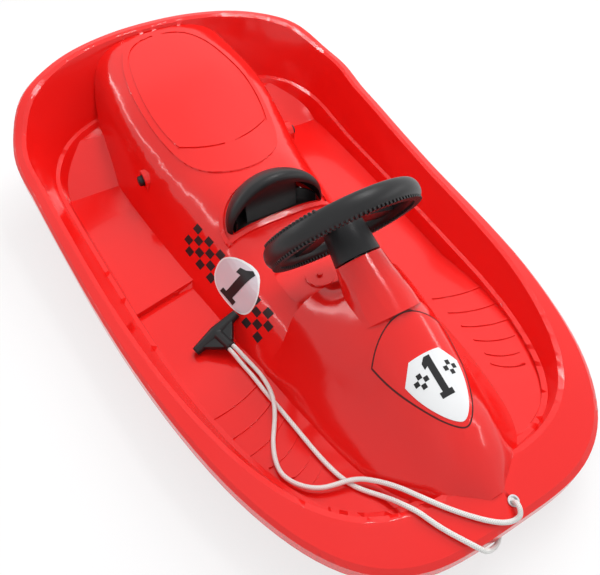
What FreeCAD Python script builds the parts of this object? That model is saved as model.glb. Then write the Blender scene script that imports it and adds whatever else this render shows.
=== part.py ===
import FreeCAD, Part
import bisect
import math
import os

import Sketcher
from FreeCAD import Placement, Rotation, Vector

# A child's steering sled: one moulded hull with a seat hump, a steering wheel that turns two front skis,
# and a pull-up brake under the seat. Forward is +X, the driver's left is +Y, and it stands on z = 0.
doc = FreeCAD.newDocument("steering_sled")
sheet = doc.addObject("Spreadsheet::Sheet", "Sizes")

# Lengths in millimetres, angles in degrees.
SIZES = {
    # Hull outline, rim and walls
    "hull_length": 945, "hull_width": 584, "widest_to_front": 752.5, "side_rim_height": 92,
    "rear_rim_height": 208, "side_ledge_height": 44, "rear_ledge_height": 100, "wall": 4, "skirt_drop": 24,
    "lip_height": 17, "rim_flare": 14, "rim_shoulder": 4, "rim_roll": 6, "crest_round": 3, "front_deck": 52,
    "front_shoulder": 6, "wall_draft": 23, "front_wall_draft": 5, "ledge_width": 6, "ledge_fall": 1,
    "foot_draft": 8, "front_foot_draft": 9, "foot_depth": 2, "pan_inset": 4.5,
    # Foot wells and runners
    "rear_shelf_height": 92, "rear_floor_height": 27, "front_floor_height": 18, "ramp_top_height": 62,
    "riser_x": -40, "riser_run": 8, "riser_skew": 36, "rib_width": 2.4, "rib_height": 1.4, "rib_bow": 5,
    "runner_width": 7, "runner_length": 270, "runner_rear_x": -300, "runner_track": 328,
    "runner_spacing": 42, "runner_round": 18,
    # Seat hump, cockpit and nose
    "seat_height": 200, "seat_pad_rise": 2.5, "seat_groove_width": 3.5, "seat_groove_depth": 1.8,
    "seat_groove_break": 16, "hump_width": 320, "hump_base": 10, "seat_step": 36, "nose_step": 18, "nose_height": 180, "nose_width": 262,
    "pocket_length": 84, "pocket_width": 112, "pocket_depth": 7, "pocket_x": 95, "pocket_corner": 26,
    "dash_boss_diameter": 40, "dash_boss_height": 3, "hatch_top_x": 258, "hatch_corner_x": 281,
    "hatch_bottom_x": 381, "hatch_half_width": 50, "hatch_thickness": 2.4, "hatch_gap": 0.8,
    "label_top_x": 302, "label_corner_x": 319, "label_bottom_x": 376, "label_half_width": 35,
    "label_top_width": 40, "label_thickness": 0.35,
    "label_gap": 0.3, "side_label_x": 46, "side_label_z": 74, "side_label_length": 70,
    "side_label_height": 50, "side_label_lean": 30,
    # Steering column and wheel
    "column_x": 175, "column_z": 188, "column_rake": 58, "steer_rest": 20, "boss_diameter": 58,
    "boss_foot_diameter": 84, "boss_length": 74, "shaft_diameter": 14, "bush_diameter": 24,
    "bush_length": 26, "bush_flange": 32, "bush_flange_thickness": 2, "thrust_gap": 0.3,
    "sleeve_length": 40, "sleeve_top_diameter": 50, "sleeve_bottom_diameter": 57, "sleeve_bore": 36,
    "sleeve_bore_depth": 6, "wheel_diameter": 206, "grip_diameter": 20, "grip_depth": 30, "wheel_dish": 6.5,
    "spoke_width": 30, "spoke_thickness": 9, "hub_diameter": 52, "hub_height": 16, "wheel_recess": 24,
    "wheel_recess_depth": 7, "wheel_bolt_head": 16, "wheel_bolt_height": 5, "wheel_bolt_diameter": 8,
    "wheel_bolt_length": 22, "pitman_length": 58, "pitman_width": 20, "pitman_thickness": 6,
    "drive_distance": 101, "drive_pin_diameter": 8, "drive_pin_overhang": 14, "shaft_overhang": 4,
    # Front skis, kingpins and track rod
    "kingpin_x": 290, "kingpin_track": 280, "kingpin_diameter": 10, "kingpin_head": 20,
    "kingpin_head_height": 4, "kingpin_grip": 9.6, "kingpin_boss_diameter": 32, "washer_diameter": 26,
    "washer_thickness": 1.5, "seat_gap": 0.15, "ski_front": 142, "ski_rear": 90, "ski_width": 78,
    "ski_thickness": 9, "ski_tip_height": 34, "ski_tip_length": 66, "ski_tail_rise": 6,
    "ski_boss_diameter": 34, "ski_boss_top": 32.6, "ski_recess_depth": 6, "ski_arm_length": 58,
    "ski_arm_width": 20, "ski_arm_bottom": 16.5, "ski_arm_thickness": 6.5, "ski_pin_diameter": 8,
    "ski_pin_head": 13, "ski_pin_head_height": 1.5, "ski_pin_length": 16, "clip_diameter": 15,
    "clip_thickness": 1.6, "rod_x": 234.7, "rod_width": 28, "rod_thickness": 4, "rod_overhang": 14,
    "rod_post_x": 230, "rod_post_width": 30, "rod_post_thickness": 5, "rod_post_top": 104,
    "rod_slot_bottom": 75, "slot_play": 0.5, "slot_run": 6,
    # Brake
    "brake_x": -213, "brake_z": 89, "axle_diameter": 8, "axle_bush_diameter": 20, "axle_bush_length": 24,
    "axle_bush_recess": 4, "axle_end_gap": 4, "pad_face": 131, "pad_diameter": 32, "pad_depth": 34,
    "brake_hub_diameter": 20, "brake_web_thickness": 7, "brake_arm_width": 80, "web_knee_x": -60,
    "web_knee_z": 91, "web_front_x": -40, "web_front_z": 101, "handle_front_x": -17, "handle_base_z": 108,
    "handle_length": 62, "handle_width": 154, "handle_height": 68, "handle_wall": 6, "handle_crown": 15, "handle_round": 9, "handle_lift": 1,
    "opening_inset": 8, "recess_rim_width": 6, "recess_rim_height": 4, "recess_rim_gap": 3.6,
    "claw_x": -352, "claw_arm_z": 62, "claw_width": 76, "claw_thickness": 3, "claw_bottom": 8,
    "claw_height": 66, "claw_tooth": 14, "claw_block_height": 22, "claw_screw_diameter": 5, "claw_screw_head": 9,
    "claw_screw_head_height": 3, "claw_screw_spacing": 40, "claw_screw_length": 12,
    # Small hardware
    "dash_screw_head": 8, "dash_screw_height": 3.5, "dash_screw_diameter": 4, "dash_screw_length": 6,
    "eyelet_x": 455, "eyelet_y": 12, "eyelet_hole": 9, "eyelet_flange": 12.6, "eyelet_thickness": 1.2,
    "eyelet_wall": 0.8, "eyelet_lift": 0.5,
    # Tow cord and handle
    "cord_diameter": 5.5, "tow_bar_length": 74, "tow_bar_diameter": 19, "tow_bar_end": 12,
    "tow_stem_length": 32, "tow_stem_diameter": 17, "tow_stem_end": 15, "tow_x": 73.7, "tow_y": -148.5,
    "tow_turn": -78, "tow_lean": 16.5, "tow_rest_gap": 0.4,
    # Fits
    "running_fit": 0.1, "bore_fit": 0.05, "overrun": 5,
}
for row, (name, value) in enumerate(SIZES.items(), start=1):
    sheet.set(f"A{row}", name)
    sheet.set(f"B{row}", str(value))
    sheet.setAlias(f"B{row}", name)
doc.recompute()


def size(name):
    return float(getattr(sheet, name))


LENGTH = size("hull_length")
HALF_WIDTH = size("hull_width") / 2
WAIST = LENGTH / 2 - size("widest_to_front")
WALL = size("wall")
OVERRUN = size("overrun")
CEILING = size("rear_rim_height") + size("seat_height")
FIT = size("running_fit")
UP = Vector(0, 0, 1)
ACROSS = Vector(0, 1, 0)
RIM_ROUNDNESS = 3.6
LEDGE_ROUNDNESS = 4
FOOT_ROUNDNESS = 5
REAR_ROUNDNESS = 2.15
TAPER_SHARE = 0.04
FINE_STEPS = 720
RAIL_POINTS = 48

# Rows of the place along the hull and the height there: a share of the hull's length forward of its
# middle, and a share of the way from the lower to the higher of two named heights.
SHEER_SHARES = [(-0.5, 1), (-0.46, 0.905), (-0.413, 0.759), (-0.36, 0.474), (-0.265, 0.276),
                (-0.19, 0.198), (-0.106, 0.103), (0, 0.017), (0.12, 0), (0.22, 0), (0.305, -0.026),
                (0.38, -0.052), (0.433, -0.095), (0.469, -0.13), (0.5, -0.17)]
LEDGE_SHARES = [(-0.5, 1), (-0.466, 0.96), (-0.397, 0.79), (-0.317, 0.29), (-0.21, 0.07), (0, 0),
                (0.106, 0), (0.21, 0.11), (0.35, 0.25), (0.423, 0.39), (0.5, 0.45)]
PANEL_SHARES = [(-0.5, 1), (-0.466, 1), (-0.397, 0.815), (-0.317, 0)]
RAMP_SHARES = [(0.106, 0.045), (0.2, 0.455), (0.275, 0.66), (0.35, 0.773), (0.423, 1), (0.5, 1.09)]


def between(table, x, low, high):
    rows = [(place * LENGTH, low + rise * (high - low)) for place, rise in table]
    for (x0, z0), (x1, z1) in zip(rows, rows[1:]):
        if x <= x1:
            return z0 + (z1 - z0) * (max(x, x0) - x0) / (x1 - x0)
    return rows[-1][1]


def sheer(x):
    return between(SHEER_SHARES, x, size("side_rim_height"), size("rear_rim_height"))


def ledge(x):
    return between(LEDGE_SHARES, x, size("side_ledge_height"), size("rear_ledge_height"))


def floor_rows():
    """Top line of the floor pan from the rear shelf, down the panel and the riser, and up the ramp."""
    rear = size("rear_floor_height")
    front = size("front_floor_height")
    shelf = size("rear_shelf_height") - rear
    ramp = size("ramp_top_height") - front
    rows = [(place * LENGTH, rear + rise * shelf) for place, rise in PANEL_SHARES]
    rows += [(size("riser_x"), rear), (size("riser_x") + size("riser_run"), front)]
    return rows + [(place * LENGTH, front + rise * ramp) for place, rise in RAMP_SHARES]


def floor(x):
    rows = floor_rows()
    for (x0, z0), (x1, z1) in zip(rows, rows[1:]):
        if x <= x1:
            return z0 + (z1 - z0) * (x - x0) / (x1 - x0)
    return rows[-1][1]


def outline_point(angle, side, front, roundness):
    c = math.cos(angle)
    s = math.sin(angle)
    reach = size("widest_to_front") - front if c >= 0 else LENGTH - size("widest_to_front") - side
    power = 2 / (roundness if c >= 0 else REAR_ROUNDNESS)
    x = WAIST + math.copysign(reach * abs(c) ** power, c)
    half = HALF_WIDTH - side - max(0, x - WAIST) * TAPER_SHARE
    return x, math.copysign(half * abs(s) ** power, s)


def rail(side, front, height, roundness=RIM_ROUNDNESS):
    """Closed curve round the hull, inset from the lip, at a height that follows x."""
    turns = [2 * math.pi * k / FINE_STEPS for k in range(FINE_STEPS)]
    ring = [outline_point(turn, side, front, roundness) for turn in turns]
    travel = [0]
    for start, end in zip(ring, ring[1:] + ring[:1]):
        travel.append(travel[-1] + math.dist(start, end))
    points = []
    for k in range(RAIL_POINTS):
        goal = travel[-1] * k / RAIL_POINTS
        after = max(bisect.bisect_left(travel, goal), 1)
        part = (goal - travel[after - 1]) / (travel[after] - travel[after - 1])
        x0, y0 = ring[after - 1]
        x1, y1 = ring[after % FINE_STEPS]
        x = x0 + (x1 - x0) * part
        points.append(Vector(x, y0 + (y1 - y0) * part, height(x)))
    curve = Part.BSplineCurve()
    curve.interpolate(Points=points, PeriodicFlag=True)
    return Part.Wire([curve.toShape()])


# Rim and tub wall: a ring of one wall thickness, from the lip of the turned-down skirt over the crest and
# down the drafted wall to its foot under the floor pan.
CREST_SIDE = size("rim_flare")
CREST_FRONT = size("front_deck")
ROLL_SIDE = CREST_SIDE + size("rim_roll")
ROLL_FRONT = CREST_FRONT + size("rim_roll")
LEDGE_SIDE = ROLL_SIDE + size("wall_draft")
LEDGE_FRONT = ROLL_FRONT + size("front_wall_draft")
STEP_SIDE = LEDGE_SIDE + size("ledge_width")
STEP_FRONT = LEDGE_FRONT + size("ledge_width")
FOOT_SIDE = STEP_SIDE + size("foot_draft")
FOOT_FRONT = STEP_FRONT + size("front_foot_draft")


def rim_ring():
    lip = size("skirt_drop")
    band = lip - size("lip_height")
    round_off = size("crest_round")
    fall = size("ledge_fall")

    def below(line, drop):
        return lambda x: line(x) - drop

    def foot(x):
        return floor(x) - WALL - size("foot_depth")

    shoulder = (size("rim_shoulder"), size("front_shoulder"))
    outer = [rail(0, 0, below(sheer, lip)),
             rail(0, 0, below(sheer, band)),
             rail(*shoulder, below(sheer, round_off)),
             rail(CREST_SIDE, CREST_FRONT, sheer),
             rail(ROLL_SIDE, ROLL_FRONT, below(sheer, round_off / 2)),
             rail(LEDGE_SIDE, LEDGE_FRONT, ledge, LEDGE_ROUNDNESS),
             rail(STEP_SIDE, STEP_FRONT, below(ledge, fall), LEDGE_ROUNDNESS),
             rail(FOOT_SIDE, FOOT_FRONT, foot, FOOT_ROUNDNESS)]
    inner = [rail(FOOT_SIDE - WALL, FOOT_FRONT - WALL, foot, FOOT_ROUNDNESS),
             rail(STEP_SIDE - WALL, STEP_FRONT - WALL, below(ledge, fall + WALL), LEDGE_ROUNDNESS),
             rail(LEDGE_SIDE - WALL, LEDGE_FRONT - WALL, below(ledge, WALL), LEDGE_ROUNDNESS),
             rail(ROLL_SIDE - WALL, ROLL_FRONT - WALL, below(sheer, round_off / 2 + WALL)),
             rail(CREST_SIDE, CREST_FRONT, below(sheer, WALL)),
             rail(shoulder[0] + WALL, shoulder[1] + WALL, below(sheer, round_off + WALL)),
             rail(WALL, WALL, below(sheer, band + WALL)),
             rail(WALL, WALL, below(sheer, lip))]
    shell = Part.makeLoft(outer + inner, False, True, True)
    return Part.Solid(shell.Shells[0])


def tub(gap):
    """Space inside the tub wall, inset from its face."""
    sections = [rail(FOOT_SIDE + gap, FOOT_FRONT + gap, lambda x: 0, FOOT_ROUNDNESS),
                rail(FOOT_SIDE + gap, FOOT_FRONT + gap, lambda x: floor(x) - WALL, FOOT_ROUNDNESS),
                rail(STEP_SIDE + gap, STEP_FRONT + gap, lambda x: ledge(x), LEDGE_ROUNDNESS),
                rail(ROLL_SIDE + gap, ROLL_FRONT + gap, sheer),
                rail(ROLL_SIDE + gap, ROLL_FRONT + gap, lambda x: CEILING)]
    return Part.makeLoft(sections, True, True)


def strip(rows):
    """Closed outline in the XZ plane carried across the whole width."""
    corners = [Vector(x, -HALF_WIDTH, z) for x, z in rows + rows[:1]]
    return Part.Face(Part.makePolygon(corners)).extrude(ACROSS * (2 * HALF_WIDTH))


PAN_TOP = floor_rows()
PAN_BOTTOM = [(x, z - WALL) for x, z in PAN_TOP]


def floor_pan():
    inset = size("pan_inset")
    plan = Part.Face(rail(FOOT_SIDE - inset, FOOT_FRONT - inset, lambda x: 0, FOOT_ROUNDNESS))
    pan = strip(PAN_TOP + PAN_BOTTOM[::-1])
    start = size("riser_x")
    reach = start + size("riser_skew")
    low = size("front_floor_height") - WALL / 2
    inner = size("hump_width") / 2 - size("riser_skew")
    for side in (1, -1):
        corners = [(start, inner), (reach, HALF_WIDTH), (start, HALF_WIDTH), (start, inner)]
        wedge = Part.Face(Part.makePolygon([Vector(x, side * y, low) for x, y in corners]))
        pan = pan.fuse(wedge.extrude(UP * (size("rear_floor_height") - low)))
    return pan.common(plan.extrude(UP * CEILING))


# Ribs across the ramp of each foot well: shares of the hull's length and half width at the outer end,
# then at the inner end.
RIB_SHARES = [(0.203, 0.736, 0.183, 0.476), (0.242, 0.702, 0.219, 0.473), (0.275, 0.671, 0.25, 0.466),
              (0.302, 0.627, 0.279, 0.455), (0.327, 0.575, 0.305, 0.442), (0.346, 0.548, 0.322, 0.425)]


def well_ribs(pan):
    half = Vector(size("rib_width") / 2, 0, 0)
    ribs = []
    for x0, y0, x1, y1 in RIB_SHARES:
        for side in (1, -1):
            outer = Vector(x0 * LENGTH, side * y0 * HALF_WIDTH, 0)
            inner = Vector(x1 * LENGTH, side * y1 * HALF_WIDTH, 0)
            middle = (outer + inner) / 2 + Vector(size("rib_bow"), 0, 0)
            front = Part.Arc(outer + half, middle + half, inner + half).toShape()
            rear = Part.Arc(inner - half, middle - half, outer - half).toShape()
            ends = [Part.makeLine(inner + half, inner - half), Part.makeLine(outer - half, outer + half)]
            face = Part.Face(Part.Wire([front, ends[0], rear, ends[1]]))
            ribs.append(face.extrude(UP * CEILING))
    raised = pan.translated(UP * size("rib_height"))
    return raised.common(Part.makeCompound(ribs))


# Sections across the seat hump and cockpit, then across the cowl and nose. Each row has its place as a
# share of the hull's length, then shares of the half width at the foot, flare, side, edge and shoulder,
# then shares of the height at the flare, side, edge, shoulder and crest.
SEAT_SHARES = [
    (-0.491, (0.912, 0.888, 0.825, 0.7, 0.538), (0.3, 0.55, 0.86, 0.95, 0.98)),
    (-0.392, (0.975, 0.919, 0.85, 0.731, 0.612), (0.25, 0.56, 0.84, 0.89, 0.915)),
    (-0.307, (1, 0.938, 0.85, 0.738, 0.612), (0.16, 0.475, 0.79, 0.84, 0.858)),
    (-0.225, (0.981, 0.919, 0.812, 0.662, 0.525), (0.16, 0.43, 0.69, 0.735, 0.75)),
    (-0.148, (0.95, 0.888, 0.738, 0.55, 0.388), (0.15, 0.4, 0.62, 0.67, 0.685)),
    (-0.083, (0.925, 0.862, 0.688, 0.488, 0.312), (0.14, 0.38, 0.6, 0.66, 0.675)),
    (-0.048, (0.906, 0.844, 0.662, 0.512, 0.344), (0.135, 0.36, 0.545, 0.605, 0.625)),
    (-0.011, (0.881, 0.819, 0.625, 0.55, 0.375), (0.13, 0.35, 0.46, 0.515, 0.525)),
    (0.042, (0.85, 0.794, 0.612, 0.525, 0.344), (0.12, 0.32, 0.44, 0.48, 0.485)),
    (0.098, (0.831, 0.775, 0.606, 0.5, 0.312), (0.12, 0.31, 0.435, 0.462, 0.465)),
    (0.19, (0.812, 0.762, 0.594, 0.494, 0.306), (0.17, 0.34, 0.45, 0.475, 0.48))]
NOSE_SHARES = [
    (0.17, (1, 0.939, 0.733, 0.565, 0.336), (0.19, 0.4, 0.722, 0.811, 0.833)),
    (0.196, (0.99, 0.925, 0.725, 0.55, 0.32), (0.22, 0.425, 0.722, 0.872, 0.95)),
    (0.228, (0.977, 0.908, 0.718, 0.534, 0.305), (0.244, 0.444, 0.711, 0.917, 1.05)),
    (0.274, (0.947, 0.878, 0.687, 0.504, 0.351), (0.278, 0.433, 0.633, 0.878, 0.994)),
    (0.324, (0.901, 0.824, 0.656, 0.473, 0.336), (0.3, 0.433, 0.578, 0.778, 0.872)),
    (0.361, (0.84, 0.763, 0.611, 0.458, 0.321), (0.322, 0.433, 0.533, 0.711, 0.794)),
    (0.395, (0.763, 0.687, 0.534, 0.412, 0.29), (0.344, 0.433, 0.5, 0.65, 0.722)),
    (0.433, (0.58, 0.504, 0.412, 0.336, 0.244), (0.378, 0.444, 0.478, 0.556, 0.606)),
    (0.457, (0.351, 0.305, 0.26, 0.214, 0.137), (0.367, 0.433, 0.456, 0.489, 0.5)),
    (0.469, (0.122, 0.107, 0.092, 0.069, 0.038), (0.344, 0.4, 0.422, 0.433, 0.439))]


def smooth(places, values, x):
    """Value at x on a smooth curve through the rows of a table."""
    last = len(places) - 2
    row = min(max(bisect.bisect_right(places, x) - 1, 0), last)
    slopes = [(values[k + 1] - values[k]) / (places[k + 1] - places[k]) for k in range(last + 1)]
    before = (slopes[max(row - 1, 0)] + slopes[row]) / 2
    after = (slopes[row] + slopes[min(row + 1, last)]) / 2
    span = places[row + 1] - places[row]
    part = (x - places[row]) / span
    rise = values[row + 1] - values[row]
    bend = part * (1 - part) * ((1 - part) * (before * span - rise) - part * (after * span - rise))
    return values[row] + rise * part + bend


def even_spread(points, count):
    """The same section with its points an even distance apart."""
    travel = [0]
    for start, end in zip(points, points[1:]):
        travel.append(travel[-1] + start.distanceToPoint(end))
    goals = [travel[-1] * k / (count - 1) for k in range(count)]
    across = [point.y for point in points]
    rise = [point.z for point in points]
    return [Vector(points[0].x, smooth(travel, across, goal), smooth(travel, rise, goal)) for goal in goals]


SECTION_POINTS = 19
HOLLOW_POINTS = 13
HOLLOW_STEPS = 1
CUBIC = 3


def end_weighted(count):
    """Knots, and how often each is used, of a cubic curve that starts and ends on its end points."""
    knots = list(range(count - CUBIC + 1))
    return knots, [CUBIC + 1] + [1] * (len(knots) - 2) + [CUBIC + 1]


def smooth_skin(grid):
    """Cubic surface drawn by a grid of even points, so it keeps within them and has no waves."""
    u_knots, u_uses = end_weighted(len(grid))
    v_knots, v_uses = end_weighted(len(grid[0]))
    skin = Part.BSplineSurface()
    skin.buildFromPolesMultsKnots(grid, u_uses, v_uses, u_knots, v_knots, False, False, CUBIC, CUBIC)
    return skin


def hump(table, half_width, height, inset, end_inset, section_step):
    """Solid under a smooth skin drawn by even sections of a table, inset from the skin of the full form."""
    points = HOLLOW_POINTS if inset else SECTION_POINTS
    places = [row[0] * LENGTH for row in table]
    count = round((places[-1] - places[0]) / section_step / (HOLLOW_STEPS if inset else 1))
    first = places[0] + end_inset
    step = (places[-1] - places[0] - 2 * end_inset) / count
    grid = []
    for number in range(count + 1):
        x = first + number * step
        widths = [smooth(places, [row[1][k] for row in table], x) * half_width for k in range(5)]
        heights = [smooth(places, [row[2][k] for row in table], x) * height for k in range(5)]
        right = [Vector(x, max(width - inset, inset), rise - inset)
                 for width, rise in zip(widths, [size("hump_base")] + heights)]
        left = [Vector(x, -point.y, point.z) for point in right[::-1]]
        grid.append(even_spread(right + [Vector(x, 0, heights[-1] - inset)] + left, points))
    skin = smooth_skin(grid)
    u_start, u_end, v_start, v_end = skin.bounds()
    lines = [Part.makeLine(row[0], row[-1]) for row in (grid[0], grid[-1])]
    ends = [skin.uIso(u_start).toShape(), skin.uIso(u_end).toShape()]
    feet = [skin.vIso(v_start).toShape(), skin.vIso(v_end).toShape()]
    caps = [Part.Face(Part.Wire([end, line])) for end, line in zip(ends, lines)]
    base = Part.Face(Part.Wire(Part.__sortEdges__(feet + lines)))
    shell = Part.makeShell([skin.toShape(), base] + caps)
    shell.sewShape()
    solid = Part.makeSolid(shell)
    if solid.Volume < 0:
        solid.reverse()
    return solid


def seat_hump(inset=0):
    return hump(SEAT_SHARES, size("hump_width") / 2, size("seat_height"), inset, 0, size("seat_step"))


# Outline of the raised seat pad and of the groove in it: shares of the hull's length and of the hump's
# half width, from the rear to the front of one side. The groove's last two rows are its front corner and
# the middle of its front line.
PAD_SHARES = [(-0.469, 0.2), (-0.457, 0.35), (-0.43, 0.45), (-0.387, 0.535), (-0.335, 0.585),
              (-0.28, 0.594), (-0.232, 0.569), (-0.198, 0.531), (-0.164, 0.469), (-0.131, 0.344), (-0.111, 0.138)]
GROOVE_SHARES = [(-0.4605, 0.1), (-0.449, 0.275), (-0.418, 0.42), (-0.36, 0.51), (-0.3, 0.55), (-0.25, 0.54),
                 (-0.197, 0.47), (-0.1715, 0)]


def seat_point(along_share, out_share, side):
    return Vector(along_share * LENGTH, side * out_share * size("hump_width") / 2, 0)


def seat_pad(rise):
    """Flat-edged pad on the hump, following its crown."""
    ring = [seat_point(*row, 1) for row in PAD_SHARES] + [seat_point(*row, -1) for row in PAD_SHARES[::-1]]
    curve = Part.BSplineCurve()
    curve.interpolate(Points=ring, PeriodicFlag=True)
    prism = Part.Face(Part.Wire([curve.toShape()])).extrude(UP * CEILING)
    return prism.common(seat_hump().translated(UP * rise))


def groove_plan():
    """Closed outline of the seat: a rounded rear, two bowed sides and a bowed front with two corners."""
    left = [seat_point(*row, 1) for row in GROOVE_SHARES[:-1]]
    right = [seat_point(*row, -1) for row in GROOVE_SHARES[:-1]]
    curve = Part.BSplineCurve()
    curve.interpolate(Points=left[::-1] + right)
    front = Part.Arc(right[-1], seat_point(*GROOVE_SHARES[-1], 1), left[-1])
    return Part.Wire([curve.toShape(), front.toShape()])


def seat_groove():
    """Fine groove round the seat, broken at the middle of its front and rear."""
    plan = groove_plan()
    span = plan.BoundBox
    middle = Vector(span.Center.x, 0, 0)
    shrink = FreeCAD.Matrix()
    shrink.move(middle * -1)
    shrink.scale(1 - 2 * size("seat_groove_width") / span.XLength, 1 - 2 * size("seat_groove_width") / span.YLength, 1)
    shrink.move(middle)
    inner = Part.Face(Part.Wire(plan.transformGeometry(shrink).Edges)).extrude(UP * CEILING)
    ring = Part.Face(plan).extrude(UP * CEILING).cut(inner)
    gap = size("seat_groove_break")
    ring = ring.cut(Part.makeBox(LENGTH, gap, CEILING, Vector(-LENGTH, -gap / 2, 0)))
    return ring.cut(seat_hump().translated(UP * (size("seat_pad_rise") - size("seat_groove_depth"))))


def nose(inset=0):
    step = size("nose_step")
    return hump(NOSE_SHARES, size("nose_width") / 2, size("nose_height"), inset, 2 * inset, step)


# The steering column's own frame: its origin is the top of the hull's column boss, its Z axis runs up to
# the driver and its X axis to the top of the wheel.
COLUMN = Placement(Vector(size("column_x"), 0, size("column_z")), Rotation(ACROSS, -size("column_rake")))
STEERED = COLUMN.multiply(Placement(Vector(), Rotation(UP, size("steer_rest"))))


def along(radius_start, radius_end, start, end):
    """Cone or cylinder on the column's axis between two places on it."""
    if radius_start == radius_end:
        body = Part.makeCylinder(radius_start, end - start, UP * start)
    else:
        body = Part.makeCone(radius_start, radius_end, end - start, UP * start)
    return body


def on_column(shape):
    placed = shape.copy()
    placed.Placement = COLUMN.multiply(shape.Placement)
    return placed


def column_boss():
    return on_column(along(size("boss_foot_diameter") / 2, size("boss_diameter") / 2,
                           -size("boss_length"), 0))


def side_pad(side):
    """Upright pad on the side of the hump that carries the brake axle: round above, straight below."""
    radius = size("pad_diameter") / 2
    inner = size("pad_face") - size("pad_depth")
    start = Vector(size("brake_x"), side * inner, size("brake_z"))
    boss = Part.makeCylinder(radius, size("pad_depth"), start, ACROSS * side)
    corner = Vector(size("brake_x") - radius, min(side * inner, side * size("pad_face")), 0)
    return boss.fuse(Part.makeBox(2 * radius, size("pad_depth"), size("brake_z"), corner))


def pad_tube(side):
    inner = size("pad_face") - size("pad_depth")
    start = Vector(size("brake_x"), side * inner, size("brake_z"))
    return Part.makeCylinder(size("pad_diameter") / 2, size("pad_depth"), start, ACROSS * side)


def handle_form(grow, front, crown=0):
    """Rear half of the brake handle's ellipsoid, grown all round and cut off at its front."""
    stretch = FreeCAD.Matrix()
    stretch.scale(size("handle_length") + grow, size("handle_width") / 2 + grow,
                  size("handle_height") + grow - crown)
    form = Part.makeSphere(1).transformGeometry(stretch)
    form.translate(Vector(size("handle_front_x"), 0, size("handle_base_z")))
    reach = size("handle_width") + 2 * size("handle_height")
    corner = Vector(size("handle_front_x") + front - reach, -reach / 2, size("handle_base_z") - reach / 2)
    return form.common(Part.makeBox(reach, reach, reach, corner))


def handle_rim(seat):
    """Raised rim round the brake handle, following the slope of the hump."""
    gap = size("recess_rim_gap")
    outer = gap + size("recess_rim_width")
    rim = handle_form(outer, outer).cut(handle_form(gap, gap))
    return rim.common(seat.translated(UP * size("recess_rim_height")))


def pocket_floor():
    return SEAT_SHARES[-2][2][-1] * size("seat_height") - size("pocket_depth")


def rounded_box(length, width, height, corner, radius):
    box = Part.makeBox(length, width, height, corner)
    uprights = [edge for edge in box.Edges if abs(edge.tangentAt(edge.FirstParameter).z) == 1]
    return box.makeFillet(radius, uprights)


def dash_pocket(margin, low, high):
    corner = Vector(size("pocket_x") - size("pocket_length") / 2 - margin, -size("pocket_width") / 2 - margin, low)
    return rounded_box(size("pocket_length") + 2 * margin, size("pocket_width") + 2 * margin, high - low,
                       corner, size("pocket_corner"))


def shield(top, corner, bottom, half_width, grow, low, high):
    """Upright prism of a shield: an arc across its top and two bowed sides that meet in a round tip."""
    start = Vector(corner, half_width + grow, low)
    end = Vector(corner, -half_width - grow, low)
    crown = Part.Arc(end, Vector(top - grow, 0, low), start).toShape()
    reach = bottom + grow - corner
    side = [(corner + along_share * reach, out_share * (half_width + grow))
            for along_share, out_share in SHIELD_SHARES]
    curve = Part.BSplineCurve()
    curve.interpolate(Points=[start] + [Vector(x, y, low) for x, y in side] + [Vector(bottom + grow, 0, low)]
                      + [Vector(x, -y, low) for x, y in side[::-1]] + [end])
    return Part.Face(Part.Wire([crown, curve.toShape()])).extrude(UP * (high - low))


SHIELD_SHARES = [(0.36, 0.84), (0.7, 0.56), (0.92, 0.26)]


def hatch_prism(grow):
    return shield(size("hatch_top_x"), size("hatch_corner_x"), size("hatch_bottom_x"),
                  size("hatch_half_width"), grow, size("side_rim_height"), CEILING)


def axle_cylinder(radius, inner, outer, side):
    start = Vector(size("brake_x"), side * inner, size("brake_z"))
    return Part.makeCylinder(radius, outer - inner, start, ACROSS * side)


KINGPIN_SEAT = size("ski_boss_top") + size("washer_thickness") + 2 * size("seat_gap")
KINGPIN_TOP = KINGPIN_SEAT + size("kingpin_grip")
BUSH_REACH = size("pad_face") - size("axle_bush_recess") - size("axle_bush_length")


def runner(side, row):
    """Keel rib under the rear of the hull, rounded up at both ends."""
    y = side * (size("runner_track") / 2 + row * size("runner_spacing")) - size("runner_width") / 2
    height = size("rear_floor_height") - WALL / 2
    bar = Part.makeBox(size("runner_length"), size("runner_width"), height,
                       Vector(size("runner_rear_x"), y, 0))
    ends = [edge for edge in bar.Edges
            if edge.BoundBox.ZMax == 0 and edge.BoundBox.YLength == size("runner_width")]
    return bar.makeFillet(size("runner_round"), [e for e in ends if e.BoundBox.XLength == 0])


def deck_height(x):
    """Top of the front deck on the centre line."""
    inset = LENGTH / 2 - x
    share = (size("front_deck") - inset) / (size("front_deck") - size("front_shoulder"))
    return sheer(x) - size("crest_round") * share


def eyelet_place():
    """Seat of the eyelet: on the deck, leaning with it."""
    x = size("eyelet_x")
    lean = math.atan2(deck_height(x - OVERRUN) - deck_height(x + OVERRUN), 2 * OVERRUN)
    seat = Vector(x, size("eyelet_y"), deck_height(x) + size("eyelet_lift"))
    return Placement(seat, Rotation(ACROSS, math.degrees(lean)))


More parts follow.
